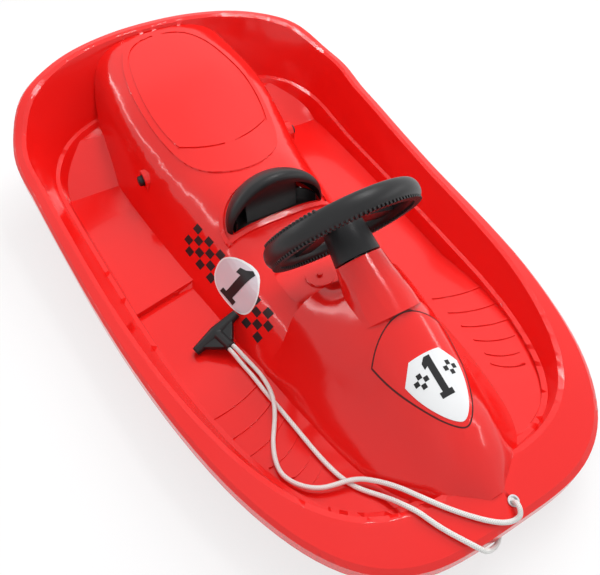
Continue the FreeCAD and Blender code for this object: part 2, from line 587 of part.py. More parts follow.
def hull_shape():
    seat = seat_hump()
    front = nose()
    boss = column_boss()
    pan = floor_pan()
    above = strip(PAN_BOTTOM + [(PAN_TOP[-1][0], CEILING), (PAN_TOP[0][0], CEILING)])
    raised = [front, boss, handle_rim(seat), side_pad(1), side_pad(-1), seat_pad(size("seat_pad_rise"))]
    body = seat.common(tub(-WALL / 2)).fuse(raised).common(above)
    # Space under the hump, open below, with the column boss, axle bosses and dash tray standing in it.
    tray = dash_pocket(WALL, pocket_floor() - WALL, pocket_floor() + WALL / 2)
    hollow = seat_hump(WALL).common(tub(WALL / 4)).fuse(nose(WALL))
    hollow = hollow.cut([boss, tray, pad_tube(1), pad_tube(-1)])
    hull = rim_ring().fuse([pan, body, well_ribs(pan)]).cut(hollow)
    dash_boss = Part.makeCylinder(size("dash_boss_diameter") / 2, size("dash_boss_height") + WALL / 2,
                                  Vector(size("pocket_x"), 0, pocket_floor() - WALL / 2))
    hull = hull.cut(dash_pocket(0, pocket_floor(), CEILING).cut(front))
    extras = [dash_boss] + [runner(side, row) for side in (1, -1) for row in (0, 1)]
    cuts = [handle_form(-size("opening_inset"), -WALL / 2), seat_groove()]
    recess = hatch_prism(size("hatch_gap")).common(front)
    cuts.append(recess.cut(front.translated(UP * -(size("hatch_thickness") + size("seat_gap")))))
    reach = size("boss_length") + OVERRUN
    cuts.append(on_column(along(*2 * [size("bush_diameter") / 2 + size("bore_fit")], -reach, OVERRUN)))
    cuts.append(Part.makeCylinder(size("dash_screw_diameter") / 2 + size("bore_fit"), CEILING,
                                  Vector(size("pocket_x"), 0, pocket_floor() - WALL - OVERRUN)))
    eyelet_bore = Part.makeCylinder(size("eyelet_hole") / 2 + size("eyelet_wall") + size("bore_fit"),
                                    2 * (WALL + OVERRUN), UP * -(WALL + OVERRUN))
    eyelet_bore.Placement = eyelet_place().multiply(eyelet_bore.Placement)
    cuts.append(eyelet_bore)
    for side in (1, -1):
        place = Vector(size("kingpin_x"), side * size("kingpin_track") / 2, KINGPIN_SEAT)
        boss_height = floor(size("kingpin_x")) - WALL / 2 - KINGPIN_SEAT
        extras.append(Part.makeCylinder(size("kingpin_boss_diameter") / 2, boss_height, place))
        bore = size("kingpin_diameter") / 2 + size("bore_fit")
        cuts.append(Part.makeCylinder(bore, size("kingpin_grip") + size("seat_gap") + OVERRUN,
                                      place - UP * OVERRUN))
        cuts.append(axle_cylinder(size("axle_bush_diameter") / 2 + size("bore_fit"), BUSH_REACH,
                                  size("pad_face") + OVERRUN, side))
        cuts.append(axle_cylinder(size("axle_diameter") / 2 + 2 * FIT, BUSH_REACH - size("pad_depth"),
                                  BUSH_REACH + OVERRUN, side))
    return hull.fuse(extras).cut(cuts)


NODES = []


def node(obj):
    NODES.append(obj)
    return obj


def feature(label, shape, place=Placement()):
    """Sub-part whose shape is made from the sheet's sizes."""
    obj = doc.addObject("Part::Feature", label)
    obj.Label = label
    obj.Shape = shape.Solids[0] if len(shape.Solids) == 1 else shape
    obj.Placement = place.multiply(obj.Placement)
    return node(obj)


def primitive(kind, label, place=Placement(), **bound):
    obj = doc.addObject("Part::" + kind, label)
    obj.Label = label
    for name, text in bound.items():
        obj.setExpression(name, text)
    obj.Placement = place
    return obj


def cylinder(label, radius, height, place=Placement()):
    return primitive("Cylinder", label, place, Radius=radius, Height=height)


def box(label, length, width, height, place=Placement()):
    return primitive("Box", label, place, Length=length, Width=width, Height=height)


def joined(label, pieces):
    obj = doc.addObject("Part::MultiFuse", label)
    obj.Label = label
    obj.Shapes = pieces
    obj.Refine = True
    return obj


def bored(label, base, tools):
    obj = doc.addObject("Part::Cut", label)
    obj.Label = label
    obj.Base = base
    obj.Tool = tools[0] if len(tools) == 1 else joined(label + "_cuts", tools)
    return obj


def at(x, y, z):
    return Placement(Vector(x, y, z), Rotation())


def padded_ring(label, outer, inner, length, place):
    """Turned ring: two circles in a sketch, padded to its length."""
    body = doc.addObject("PartDesign::Body", label)
    body.Label = label
    sketch = body.newObject("Sketcher::SketchObject", label + "_sketch")
    plane = next(item for item in body.Origin.OriginFeatures if item.Role == "XY_Plane")
    sketch.AttachmentSupport = (plane, [""])
    sketch.MapMode = "FlatFace"
    for number, (radius, expression) in enumerate((outer, inner)):
        sketch.addGeometry(Part.Circle(Vector(), UP, radius), False)
        sketch.addConstraint(Sketcher.Constraint("Coincident", number, 3, -1, 1))
        index = sketch.addConstraint(Sketcher.Constraint("Radius", number, radius))
        sketch.setExpression(f"Constraints[{index}]", expression)
    pad = body.newObject("PartDesign::Pad", label + "_pad")
    pad.Profile = sketch
    pad.setExpression("Length", length)
    body.Placement = place
    return node(body)


def flanged_bush(label, place):
    """Plain bush with a thrust flange on its outer end."""
    flange = cylinder(label + "_flange", "Sizes.bush_flange / 2", "Sizes.bush_flange_thickness")
    barrel = cylinder(label + "_barrel", "Sizes.bush_diameter / 2", "Sizes.bush_length",
                      at(0, 0, -size("bush_length")))
    bore = cylinder(label + "_bore", "Sizes.shaft_diameter / 2 + Sizes.running_fit",
                    "Sizes.bush_length + Sizes.bush_flange_thickness + 2 * Sizes.overrun",
                    at(0, 0, -size("bush_length") - OVERRUN))
    bush = bored(label, joined(label + "_turned", [flange, barrel]), [bore])
    bush.Placement = place
    return node(bush)


# The hull and what is let into it.
hull = feature("hull", hull_shape())

hatch_skin = nose()
hatch_base = hatch_skin.translated(UP * -size("hatch_thickness"))
feature("nose_hatch", hatch_prism(0).common(hatch_skin).cut(hatch_base))


def surface_label(prism, body, direction):
    """Thin sheet that follows the skin of a body, just clear of it."""
    skin = max(body.Faces, key=lambda face: face.Area)
    patch = skin.common(prism).translated(direction * size("label_gap"))
    return patch.Faces[0].extrude(direction * size("label_thickness"))




def number_plate():
    """Upright prism of the label: a straight top with cut corners and two bowed sides that meet in a tip."""
    low = size("side_rim_height")
    half = size("label_half_width")
    reach = size("label_bottom_x") - size("label_corner_x")
    left = Vector(size("label_corner_x"), half, low)
    right = Vector(size("label_corner_x"), -half, low)
    top_left = Vector(size("label_top_x"), size("label_top_width") / 2, low)
    top_right = Vector(size("label_top_x"), -size("label_top_width") / 2, low)
    side = [(size("label_corner_x") + along_share * reach, out_share * half)
            for along_share, out_share in SHIELD_SHARES]
    curve = Part.BSplineCurve()
    curve.interpolate(Points=[left] + [Vector(x, y, low) for x, y in side]
                      + [Vector(size("label_bottom_x"), 0, low)]
                      + [Vector(x, -y, low) for x, y in side[::-1]] + [right])
    straight = Part.makePolygon([right, top_right, top_left, left]).Edges
    outline = Part.Wire(Part.__sortEdges__([curve.toShape()] + straight))
    return Part.Face(outline).extrude(UP * (CEILING - low))


feature("hatch_label", surface_label(number_plate(), hatch_skin, UP))


def side_plate():
    """Drop shape for the label on the right side of the hump, carried across the hump's side."""
    half = size("side_label_length") / 2
    centre = Vector(size("side_label_x"), -HALF_WIDTH, size("side_label_z"))
    points = [centre + Vector(x * half, 0, z * size("side_label_height") / 2) for x, z in DROP_SHARES]
    curve = Part.BSplineCurve()
    curve.interpolate(Points=points, PeriodicFlag=True)
    depth = HALF_WIDTH - size("pocket_width") / 2
    return Part.Face(Part.Wire([curve.toShape()])).extrude(ACROSS * depth)


DROP_SHARES = [(1, -0.1), (0.7, 0.66), (0, 1), (-0.7, 0.7), (-1, 0), (-0.72, -0.72), (0, -1), (0.72, -0.8)]
lean = math.radians(size("side_label_lean"))
feature("side_label", surface_label(side_plate(), seat_hump(), Vector(0, -math.cos(lean), math.sin(lean))))

screw_base = pocket_floor() + size("dash_boss_height")
screw_head = cylinder("dash_screw_cap", "Sizes.dash_screw_head / 2", "Sizes.dash_screw_height",
                      at(size("pocket_x"), 0, screw_base))
screw_shank = cylinder("dash_screw_shank", "Sizes.dash_screw_diameter / 2", "Sizes.dash_screw_length",
                       at(size("pocket_x"), 0, screw_base - size("dash_screw_length")))
node(joined("dash_screw", [screw_head, screw_shank]))

# Eyelet in the front deck: a thin tube with a flat flange, leaning with the deck.
flange = cylinder("eyelet_flange", "Sizes.eyelet_flange / 2", "Sizes.eyelet_thickness")
tube = cylinder("eyelet_tube", "Sizes.eyelet_hole / 2 + Sizes.eyelet_wall", "Sizes.wall + Sizes.eyelet_thickness",
                at(0, 0, -WALL))
hole = cylinder("eyelet_hole", "Sizes.eyelet_hole / 2", "2 * Sizes.wall + 2 * Sizes.overrun", at(0, 0, -WALL - OVERRUN))
eyelet = node(bored("cord_eyelet", joined("eyelet_turned", [flange, tube]), [hole]))
eyelet.Placement = eyelet_place()

# Steering column, built in its own frame and turned to the rest angle.
flanged_bush("column_bush_upper", COLUMN)
lower_end = Placement(UP * -size("boss_length"), Rotation(Vector(1, 0, 0), 180))
flanged_bush("column_bush_lower", COLUMN.multiply(lower_end))

PITMAN_TOP = -(size("boss_length") + size("bush_flange_thickness") + size("thrust_gap"))
SLEEVE_BASE = size("bush_flange_thickness") + size("thrust_gap")
HUB_BASE = SLEEVE_BASE + size("sleeve_length")
HUB_SEAT = HUB_BASE + size("hub_height") - size("wheel_recess_depth")
SHAFT_END = PITMAN_TOP - size("pitman_thickness") - size("shaft_overhang")


def steered(obj):
    obj.Placement = STEERED
    return node(obj)


shaft_rod = primitive("Cylinder", "shaft_rod", at(0, 0, SHAFT_END), Radius="Sizes.shaft_diameter / 2")
shaft_rod.Height = HUB_SEAT - SHAFT_END
tapped = cylinder("shaft_thread", "Sizes.wheel_bolt_diameter / 2 + Sizes.bore_fit",
                  "Sizes.wheel_bolt_length + 2 * Sizes.overrun", at(0, 0, HUB_SEAT - size("wheel_bolt_length") - OVERRUN))
steered(bored("steering_shaft", shaft_rod, [tapped]))

sleeve_cone = primitive("Cone", "sleeve_cone", at(0, 0, SLEEVE_BASE), Radius1="Sizes.sleeve_bottom_diameter / 2",
                        Radius2="Sizes.sleeve_top_diameter / 2", Height="Sizes.sleeve_length")
sleeve_bore = cylinder("sleeve_shaft_bore", "Sizes.shaft_diameter / 2 + Sizes.bore_fit",
                       "Sizes.sleeve_length + 2 * Sizes.overrun", at(0, 0, SLEEVE_BASE - OVERRUN))
sleeve_mouth = cylinder("sleeve_mouth", "Sizes.sleeve_bore / 2", "Sizes.sleeve_bore_depth + Sizes.overrun",
                        at(0, 0, SLEEVE_BASE - OVERRUN))
steered(bored("column_sleeve", sleeve_cone, [sleeve_bore, sleeve_mouth]))

FULL_TURN = 360
GRIP_PLANE = HUB_BASE + size("hub_height") / 2 - size("wheel_dish")
grip_centre = Vector(size("wheel_diameter") / 2, 0, GRIP_PLANE)
grip_oval = Part.Ellipse(grip_centre + UP * (size("grip_depth") / 2),
                         grip_centre + Vector(size("grip_diameter") / 2, 0, 0), grip_centre)
grip = doc.addObject("Part::Feature", "wheel_grip")
grip.Shape = Part.Face(Part.Wire([grip_oval.toShape()])).revolve(Vector(), UP, FULL_TURN)
hub = cylinder("wheel_hub", "Sizes.hub_diameter / 2", "Sizes.hub_height", at(0, 0, HUB_BASE))
spokes = []
SPOKE_ANGLES = (90, 180, 270)
reach = size("wheel_diameter") / 2
dip = math.degrees(math.atan2(size("wheel_dish"), reach))
for number, angle in enumerate(SPOKE_ANGLES):
    spoke = box(f"wheel_spoke_{number}", "Sizes.wheel_diameter / 2", "Sizes.spoke_width", "Sizes.spoke_thickness")
    lay = at(0, -size("spoke_width") / 2, HUB_BASE + size("hub_height") / 2 - size("spoke_thickness") / 2)
    spoke.Placement = Placement(Vector(), Rotation(UP, angle)).multiply(lay).multiply(
        Placement(Vector(), Rotation(ACROSS, dip)))
    spokes.append(spoke)
wheel_bore = cylinder("wheel_bore", "Sizes.shaft_diameter / 2 + Sizes.bore_fit", "Sizes.hub_height + 2 * Sizes.overrun",
                      at(0, 0, HUB_BASE - OVERRUN))
wheel_well = cylinder("wheel_well", "Sizes.wheel_recess / 2", "Sizes.wheel_recess_depth + Sizes.overrun",
                      at(0, 0, HUB_SEAT))
steered(bored("steering_wheel", joined("wheel_cast", [grip, hub] + spokes), [wheel_bore, wheel_well]))

bolt_head = cylinder("wheel_bolt_cap", "Sizes.wheel_bolt_head / 2", "Sizes.wheel_bolt_height", at(0, 0, HUB_SEAT))
bolt_shank = cylinder("wheel_bolt_shank", "Sizes.wheel_bolt_diameter / 2", "Sizes.wheel_bolt_length",
                      at(0, 0, HUB_SEAT - size("wheel_bolt_length")))
steered(joined("wheel_bolt", [bolt_head, bolt_shank]))

PITMAN_BASE = PITMAN_TOP - size("pitman_thickness")
pitman_eye = cylinder("pitman_eye", "Sizes.pitman_width / 2 + Sizes.wall", "Sizes.pitman_thickness", at(0, 0, PITMAN_BASE))
pitman_end = cylinder("pitman_end", "Sizes.pitman_width / 2", "Sizes.pitman_thickness",
                      at(-size("pitman_length"), 0, PITMAN_BASE))
pitman_bar = box("pitman_bar", "Sizes.pitman_length", "Sizes.pitman_width", "Sizes.pitman_thickness",
                 at(-size("pitman_length"), -size("pitman_width") / 2, PITMAN_BASE))
pitman_bore = cylinder("pitman_bore", "Sizes.shaft_diameter / 2 + Sizes.bore_fit",
                       "Sizes.pitman_thickness + 2 * Sizes.overrun", at(0, 0, PITMAN_BASE - OVERRUN))
pitman_hole = cylinder("pitman_hole", "Sizes.drive_pin_diameter / 2 + Sizes.bore_fit",
                       "Sizes.pitman_thickness + 2 * Sizes.overrun",
                       at(-size("pitman_length"), 0, PITMAN_BASE - OVERRUN))
steered(bored("pitman_arm", joined("pitman_plate", [pitman_eye, pitman_end, pitman_bar]), [pitman_bore, pitman_hole]))

DRIVE_END = -(size("drive_distance") + size("drive_pin_overhang"))
drive_pin = primitive("Cylinder", "drive_pin", Radius="Sizes.drive_pin_diameter / 2")
drive_pin.Height = PITMAN_TOP - DRIVE_END
drive_pin.Placement = STEERED.multiply(at(-size("pitman_length"), 0, DRIVE_END))
node(drive_pin)

# Front skis, each on a kingpin under its foot well, with a steering arm that points back.
TIP_SHARES = (0.55, 0.3)
ARM_TOP = size("ski_arm_bottom") + size("ski_arm_thickness")


def ski_shape():
    front = size("ski_front")
    bend = front - size("ski_tip_length")
    thick = size("ski_thickness")
    lift = size("ski_tip_height") - thick
    rear = -size("ski_rear")
    knee = rear + size("ski_arm_width")
    rise = size("ski_tail_rise")
    middle = bend + TIP_SHARES[0] * (front - bend)
    half = size("ski_width") / 2

    def spot(x, z):
        return Vector(x, -half, z)

    sole = Part.Arc(spot(bend, 0), spot(middle, TIP_SHARES[1] * lift), spot(front, lift)).toShape()
    top = Part.Arc(spot(front, lift + thick), spot(middle, TIP_SHARES[1] * lift + thick), spot(bend, thick)).toShape()
    edges = [Part.makeLine(spot(rear, rise), spot(knee, 0)), Part.makeLine(spot(knee, 0), spot(bend, 0)), sole,
             Part.makeLine(spot(front, lift), spot(front, lift + thick)), top,
             Part.makeLine(spot(bend, thick), spot(knee, thick)),
             Part.makeLine(spot(knee, thick), spot(rear, rise + thick)),
             Part.makeLine(spot(rear, rise + thick), spot(rear, rise))]
    blade = Part.Face(Part.Wire(edges)).extrude(ACROSS * (2 * half))
    shoulder = Vector(front - half * TIP_SHARES[0], half, 0)
    nose_arc = Part.Arc(shoulder, Vector(front, 0, 0), Vector(shoulder.x, -half, 0)).toShape()
    tail = [Vector(rear, -half, 0), Vector(rear, half, 0)]
    sides = [Part.makeLine(Vector(shoulder.x, -half, 0), tail[0]), Part.makeLine(*tail),
             Part.makeLine(tail[1], shoulder)]
    blade = blade.common(Part.Face(Part.Wire([nose_arc] + sides)).extrude(UP * CEILING))
    boss = Part.makeCylinder(size("ski_boss_diameter") / 2, size("ski_boss_top") - thick / 2, UP * (thick / 2))
    reach = size("ski_arm_length")
    wide = size("ski_arm_width")
    base = size("ski_arm_bottom")
    arm = Part.makeBox(reach, wide, size("ski_arm_thickness"), Vector(-reach, -wide / 2, base))
    arm_end = Part.makeCylinder(wide / 2, size("ski_arm_thickness"), Vector(-reach, 0, base))
    bore = Part.makeCylinder(size("kingpin_diameter") / 2 + FIT, CEILING, UP * -OVERRUN)
    recess = Part.makeCylinder(size("kingpin_head") / 2 + WALL / 2, size("ski_recess_depth") + OVERRUN, UP * -OVERRUN)
    pin_hole = Part.makeCylinder(size("ski_pin_diameter") / 2 + size("bore_fit"), CEILING,
                                 Vector(-reach, 0, base - OVERRUN / 2))
    return blade.fuse([boss, arm, arm_end]).cut([bore, recess, pin_hole])


ROD_BASE = ARM_TOP + size("thrust_gap")
ROD_TOP = ROD_BASE + size("rod_thickness")
CLIP_BASE = ROD_TOP + size("thrust_gap")
for name, side in (("left", 1), ("right", -1)):
    foot = Vector(size("kingpin_x"), side * size("kingpin_track") / 2, 0)
    turned = Placement(foot, Rotation(UP, size("steer_rest")))
    feature("ski_" + name, ski_shape(), turned)
    head_base = size("ski_recess_depth") - size("thrust_gap") - size("kingpin_head_height")
    head = cylinder(f"kingpin_{name}_head", "Sizes.kingpin_head / 2", "Sizes.kingpin_head_height",
                    Placement(foot + UP * head_base, Rotation()))
    shank = primitive("Cylinder", f"kingpin_{name}_shank", Placement(foot + UP * head_base, Rotation()),
                      Radius="Sizes.kingpin_diameter / 2")
    shank.Height = KINGPIN_TOP - head_base
    node(joined("kingpin_" + name, [head, shank]))
    padded_ring("kingpin_washer_" + name, (size("washer_diameter") / 2, "Sizes.washer_diameter / 2"),
                (size("kingpin_diameter") / 2 + FIT, "Sizes.kingpin_diameter / 2 + Sizes.running_fit"),
                "Sizes.washer_thickness", Placement(foot + UP * (size("ski_boss_top") + size("seat_gap")), Rotation()))
    pin_place = turned.multiply(at(-size("ski_arm_length"), 0, size("ski_arm_bottom")))
    pin_head = cylinder(f"ski_pin_{name}_head", "Sizes.ski_pin_head / 2", "Sizes.ski_pin_head_height",
                        at(0, 0, -size("ski_pin_head_height")))
    pin_shank = cylinder(f"ski_pin_{name}_shank", "Sizes.ski_pin_diameter / 2", "Sizes.ski_pin_length")
    pin = node(joined("ski_pin_" + name, [pin_head, pin_shank]))
    pin.Placement = pin_place
    padded_ring("ski_clip_" + name, (size("clip_diameter") / 2, "Sizes.clip_diameter / 2"),
                (size("ski_pin_diameter") / 2 + size("bore_fit"), "Sizes.ski_pin_diameter / 2 + Sizes.bore_fit"),
                "Sizes.clip_thickness", turned.multiply(at(-size("ski_arm_length"), 0, CLIP_BASE)))

# Track rod: a flat bar with a slot over each ski pin and a forked post round the drive pin.
rest_shift = -size("ski_arm_length") * math.sin(math.radians(size("steer_rest")))
half_track = size("kingpin_track") / 2
bar_end = half_track + size("rod_overhang")
bar = box("rod_bar", "Sizes.rod_width", "Sizes.kingpin_track + 2 * Sizes.rod_overhang", "Sizes.rod_thickness",
          at(size("rod_x") - size("rod_width") / 2, -bar_end, ROD_BASE))
post = primitive("Box", "rod_post", at(size("rod_post_x") - size("rod_post_thickness") / 2,
                                       -size("rod_post_width") / 2, ROD_BASE),
                 Length="Sizes.rod_post_thickness", Width="Sizes.rod_post_width")
post.Height = size("rod_post_top") - ROD_BASE
fork = box("rod_fork", "Sizes.rod_post_thickness + 2 * Sizes.overrun",
           "Sizes.drive_pin_diameter + 2 * Sizes.slot_play", "Sizes.rod_post_top",
           at(size("rod_post_x") - size("rod_post_thickness") / 2 - OVERRUN,
              -size("drive_pin_diameter") / 2 - size("slot_play"), size("rod_slot_bottom")))
slots = []
for number, side in enumerate((1, -1)):
    wide = size("ski_pin_diameter") + 2 * size("slot_play")
    slot = box(f"rod_slot_{number}", "Sizes.ski_pin_diameter + 2 * Sizes.slot_run",
               "Sizes.ski_pin_diameter + 2 * Sizes.slot_play", "Sizes.rod_thickness + 2 * Sizes.overrun",
               at(size("rod_x") - size("ski_pin_diameter") / 2 - size("slot_run"), side * half_track - wide / 2,
                  ROD_BASE - OVERRUN))
    slots.append(slot)
rod = node(bored("track_rod", joined("rod_blank", [bar, post]), [fork] + slots))
rod.Placement = at(0, rest_shift, 0)

# Brake: an axle in two bushes under the seat, and a moulded lever with the pull handle in front of the
# seat and a steel claw behind.
for name, side in (("left", 1), ("right", -1)):
    face = Vector(size("brake_x"), side * BUSH_REACH, size("brake_z"))
    padded_ring("axle_bush_" + name, (size("axle_bush_diameter") / 2, "Sizes.axle_bush_diameter / 2"),
                (size("axle_diameter") / 2 + FIT, "Sizes.axle_diameter / 2 + Sizes.running_fit"),
                "Sizes.axle_bush_length", Placement(face, Rotation(Vector(1, 0, 0), -90 * side)))
axle_half = size("pad_face") - size("axle_bush_recess") - size("axle_end_gap")
axle = primitive("Cylinder", "brake_axle", Placement(Vector(size("brake_x"), -axle_half, size("brake_z")),
                                                     Rotation(Vector(1, 0, 0), -90)),
                 Radius="Sizes.axle_diameter / 2")
axle.Height = 2 * axle_half
node(axle)


def lever_shape():
    thick = size("brake_web_thickness") / 2
    half = size("brake_arm_width") / 2
    rows = [(size("claw_x"), size("claw_arm_z")), (size("brake_x"), size("brake_z")),
            (size("web_knee_x"), size("web_knee_z")), (size("web_front_x") + thick, size("web_front_z"))]
    corners = [(x, z + thick) for x, z in rows] + [(x, z - thick) for x, z in rows[::-1]]
    outline = Part.makePolygon([Vector(x, -half, z) for x, z in corners + corners[:1]])
    web = Part.Face(outline).extrude(ACROSS * (2 * half))
    hub_half = size("pad_face") - size("pad_depth") - size("thrust_gap")
    hub = axle_cylinder(size("brake_hub_diameter") / 2, 0, hub_half, 1).fuse(
        axle_cylinder(size("brake_hub_diameter") / 2, 0, hub_half, -1))
    dome = handle_form(0, 0)
    brow = [edge for edge in dome.Edges if edge.BoundBox.XLength < FIT]
    dome = dome.makeFillet(size("handle_round"), brow)
    crown = size("handle_crown") - size("handle_wall")
    dome = dome.cut(handle_form(-size("handle_wall"), OVERRUN, crown))
    dome = dome.cut(seat_hump().translated(UP * size("handle_lift")))
    upright = Part.makeBox(2 * thick, 2 * half, CEILING, Vector(size("web_front_x") - thick, -half, size("web_front_z") - thick))
    upright = upright.common(handle_form(-size("handle_wall") / 2, 0))
    block = Part.makeBox(size("claw_screw_length"), size("claw_width"), size("claw_block_height"),
                         Vector(size("claw_x"), -size("claw_width") / 2, size("claw_arm_z") - size("claw_block_height") / 2))
    cuts = [axle_cylinder(size("axle_diameter") / 2 + FIT, -hub_half - OVERRUN, hub_half + OVERRUN, 1)]
    for side in (1, -1):
        place = Vector(size("claw_x") - OVERRUN, side * size("claw_screw_spacing") / 2, size("claw_arm_z"))
        cuts.append(Part.makeCylinder(size("claw_screw_diameter") / 2 + size("bore_fit"),
                                      size("claw_screw_length") + 2 * OVERRUN, place, Vector(1, 0, 0)))
    return hub.fuse([web, dome, upright, block]).cut(cuts)


feature("brake_lever", lever_shape())
CLAW_TEETH = 4


def claw_shape():
    """Upright steel plate behind the lever's rear end, with a row of pointed teeth below."""
    rear = size("claw_x") - size("claw_thickness")
    half = size("claw_width") / 2
    pitch = size("claw_width") / CLAW_TEETH
    low = size("claw_bottom")
    rows = [(-half, low + size("claw_height")), (half, low + size("claw_height"))]
    for tooth in range(CLAW_TEETH):
        edge = half - tooth * pitch
        rows += [(edge, low + size("claw_tooth")), (edge - pitch / 2, low)]
    rows.append((-half, low + size("claw_tooth")))
    plate = Part.Face(Part.makePolygon([Vector(rear, y, z) for y, z in rows + rows[:1]]))
    plate = plate.extrude(Vector(size("claw_thickness"), 0, 0))
    holes = [Part.makeCylinder(size("claw_screw_diameter") / 2 + size("bore_fit"), size("claw_thickness") + 2 * OVERRUN,
                               Vector(rear - OVERRUN, side * size("claw_screw_spacing") / 2, size("claw_arm_z")),
                               Vector(1, 0, 0)) for side in (1, -1)]
    return plate.cut(holes)


feature("brake_claw", claw_shape())
screws = []
for side in (1, -1):
    rear = Vector(size("claw_x") - size("claw_thickness"), side * size("claw_screw_spacing") / 2, size("claw_arm_z"))
    head = Part.makeCylinder(size("claw_screw_head") / 2, size("claw_screw_head_height"),
                             rear - Vector(size("claw_screw_head_height"), 0, 0), Vector(1, 0, 0))
    screws.append(head.fuse(Part.makeCylinder(size("claw_screw_diameter") / 2,
                                              size("claw_thickness") + size("claw_screw_length"), rear,
                                              Vector(1, 0, 0))))
feature("claw_screws", Part.makeCompound(screws))

# Tow handle: a tapered bar with a stem, lying in the right foot well.
tow_lean = math.radians(size("tow_lean"))
tow_rise = size("tow_bar_length") / 2 * math.sin(tow_lean) + size("tow_bar_end") / 2 * math.cos(tow_lean)
tow_z = floor(size("tow_x")) + tow_rise + size("tow_rest_gap")
TOW = Placement(Vector(size("tow_x"), size("tow_y"), tow_z),
                Rotation(UP, size("tow_turn")).multiply(Rotation(ACROSS, size("tow_lean"))))
halves = []
for number, turn in enumerate((90, -90)):
    halves.append(primitive("Cone", f"tow_half_{number}", Placement(Vector(), Rotation(ACROSS, turn)),
                            Radius1="Sizes.tow_bar_diameter / 2", Radius2="Sizes.tow_bar_end / 2",
                            Height="Sizes.tow_bar_length / 2"))
stem = primitive("Cone", "tow_stem", Placement(Vector(), Rotation(Vector(1, 0, 0), -90)),
                 Radius1="Sizes.tow_stem_diameter / 2", Radius2="Sizes.tow_stem_end / 2",
                 Height="Sizes.tow_stem_length")
handle = node(joined("tow_handle", halves + [stem]))
handle.Placement = TOW

# Tow cord: one loop of limp cord that leaves the handle, lies in the foot well, climbs over the front
# deck, goes down through the eyelet, and comes back under the skirt and over the deck to the handle.
CORD_ROUTE = [
    (104.3, -138.8, 37.2), (113, -136.6, 36.8), (123, -133.8, 33.4), (135, -131.2, 31.6), (149, -129.6, 34),
    (164, -129, 38.2), (180, -130.4, 43.6), (194, -132.6, 49.4), (206, -135.2, 52.8), (219, -139.4, 53.6),
    (233, -146.4, 52.2), (247, -155.6, 51.4), (262, -165, 52.6), (280, -173, 54.2), (299, -176.4, 56),
    (315, -171.5, 58.4), (328, -162, 60), (338, -149.5, 61.4), (343, -135, 62.8), (346.5, -119.5, 64),
    (352.5, -106, 64.4), (362.5, -95.8, 67), (374, -87.4, 72), (387.5, -79.6, 76.6), (400.5, -74, 82.2),
    (413.5, -67.4, 85.6), (425.5, -57.5, 82.8), (437, -47, 79.8), (448, -36.2, 77.7), (458.5, -25, 75.9),
    (467, -12.6, 73.6), (470.6, -0.8, 71), (471, 7, 77.5), (460, 10.2, 82.5), (454.8, 12, 69),
    (455.6, 8, 57.5), (461, -0.5, 47.5), (468.5, -9.5, 42), (475.5, -19, 43), (477.6, -30.5, 50.5),
    (478, -42.8, 63.2), (471.2, -51.6, 73), (458, -61, 76.6), (444, -69.8, 78.6), (431, -77, 81.4),
    (418, -83.4, 85.4), (403.5, -89.6, 80.4), (390, -93, 69.8), (377.5, -99.4, 63.4), (365.5, -108.4, 60.6),
    (352, -117, 58.4), (334, -123.4, 56.8), (312, -127.8, 55.8), (288, -130.4, 54), (264, -132.2, 52),
    (239, -134, 49.4), (213, -136, 46.2), (190, -138, 43.2), (170, -138.6, 39.6), (152, -139, 35),
    (137, -140.2, 31.6), (125, -141.4, 31), (114.5, -143.2, 34.4), (105.7, -145, 35.3)]
ARC_SHARE = 0.45
CORD_SIDES = 8


def cord_shape(route, diameter):
    """Cord of many flat sides along straight runs joined by tangent arcs, each as large as its runs allow."""
    points = [Vector(*point) for point in route]
    edges = []
    radii = []
    start = points[0]
    for before, corner, after in zip(points, points[1:], points[2:]):
        to_corner = (corner - before).normalize()
        from_corner = (after - corner).normalize()
        turn = to_corner.getAngle(from_corner)
        cut = ARC_SHARE * min(before.distanceToPoint(corner), corner.distanceToPoint(after))
        radius = cut / math.tan(turn / 2)
        radii.append(radius)
        enter = corner - to_corner * cut
        leave = corner + from_corner * cut
        inward = (from_corner - to_corner).normalize()
        middle = corner + inward * (radius / math.cos(turn / 2) - radius)
        edges.append(Part.LineSegment(start, enter).toShape())
        edges.append(Part.Arc(enter, middle, leave).toShape())
        start = leave
    edges.append(Part.LineSegment(start, points[-1]).toShape())
    path = Part.Wire(edges)
    step = 2 * math.pi / CORD_SIDES
    radius = diameter / 2 / math.sqrt(math.sin(step) / step)
    facing = Rotation(UP, points[1] - points[0])
    corners = [points[0] + facing.multVec(Vector(math.cos(k * step), math.sin(k * step), 0) * radius)
               for k in range(CORD_SIDES)]
    section = Part.makePolygon(corners + corners[:1])
    tube = path.makePipeShell([section], True, False)
    expected = math.pi * diameter ** 2 / 4 * path.Length
    print("cord length", round(path.Length, 1), "volume share", round(tube.Volume / expected, 4))
    print("cord radii", [round(radius, 1) for radius in radii])
    return tube


feature("tow_cord", cord_shape(CORD_ROUTE, size("cord_diameter")))

doc.recompute()
for obj in doc.Objects:
    if "Invalid" in obj.State or "Error" in obj.State:
        raise RuntimeError(f"{obj.Label} failed: {obj.State}")
for obj in NODES:
    if obj.Shape.isNull() or not obj.Shape.isValid():
        raise RuntimeError(f"{obj.Label} has no valid shape")
os.makedirs("parts", exist_ok=True)
for obj in NODES:
    obj.Shape.exportStep(f"parts/{obj.Label}.step")
    print(obj.Label, len(obj.Shape.Solids), round(obj.Shape.Volume))
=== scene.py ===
import math

import bmesh
import bpy
import numpy as np
from mathutils import Matrix, Vector
from mathutils.bvhtree import BVHTree


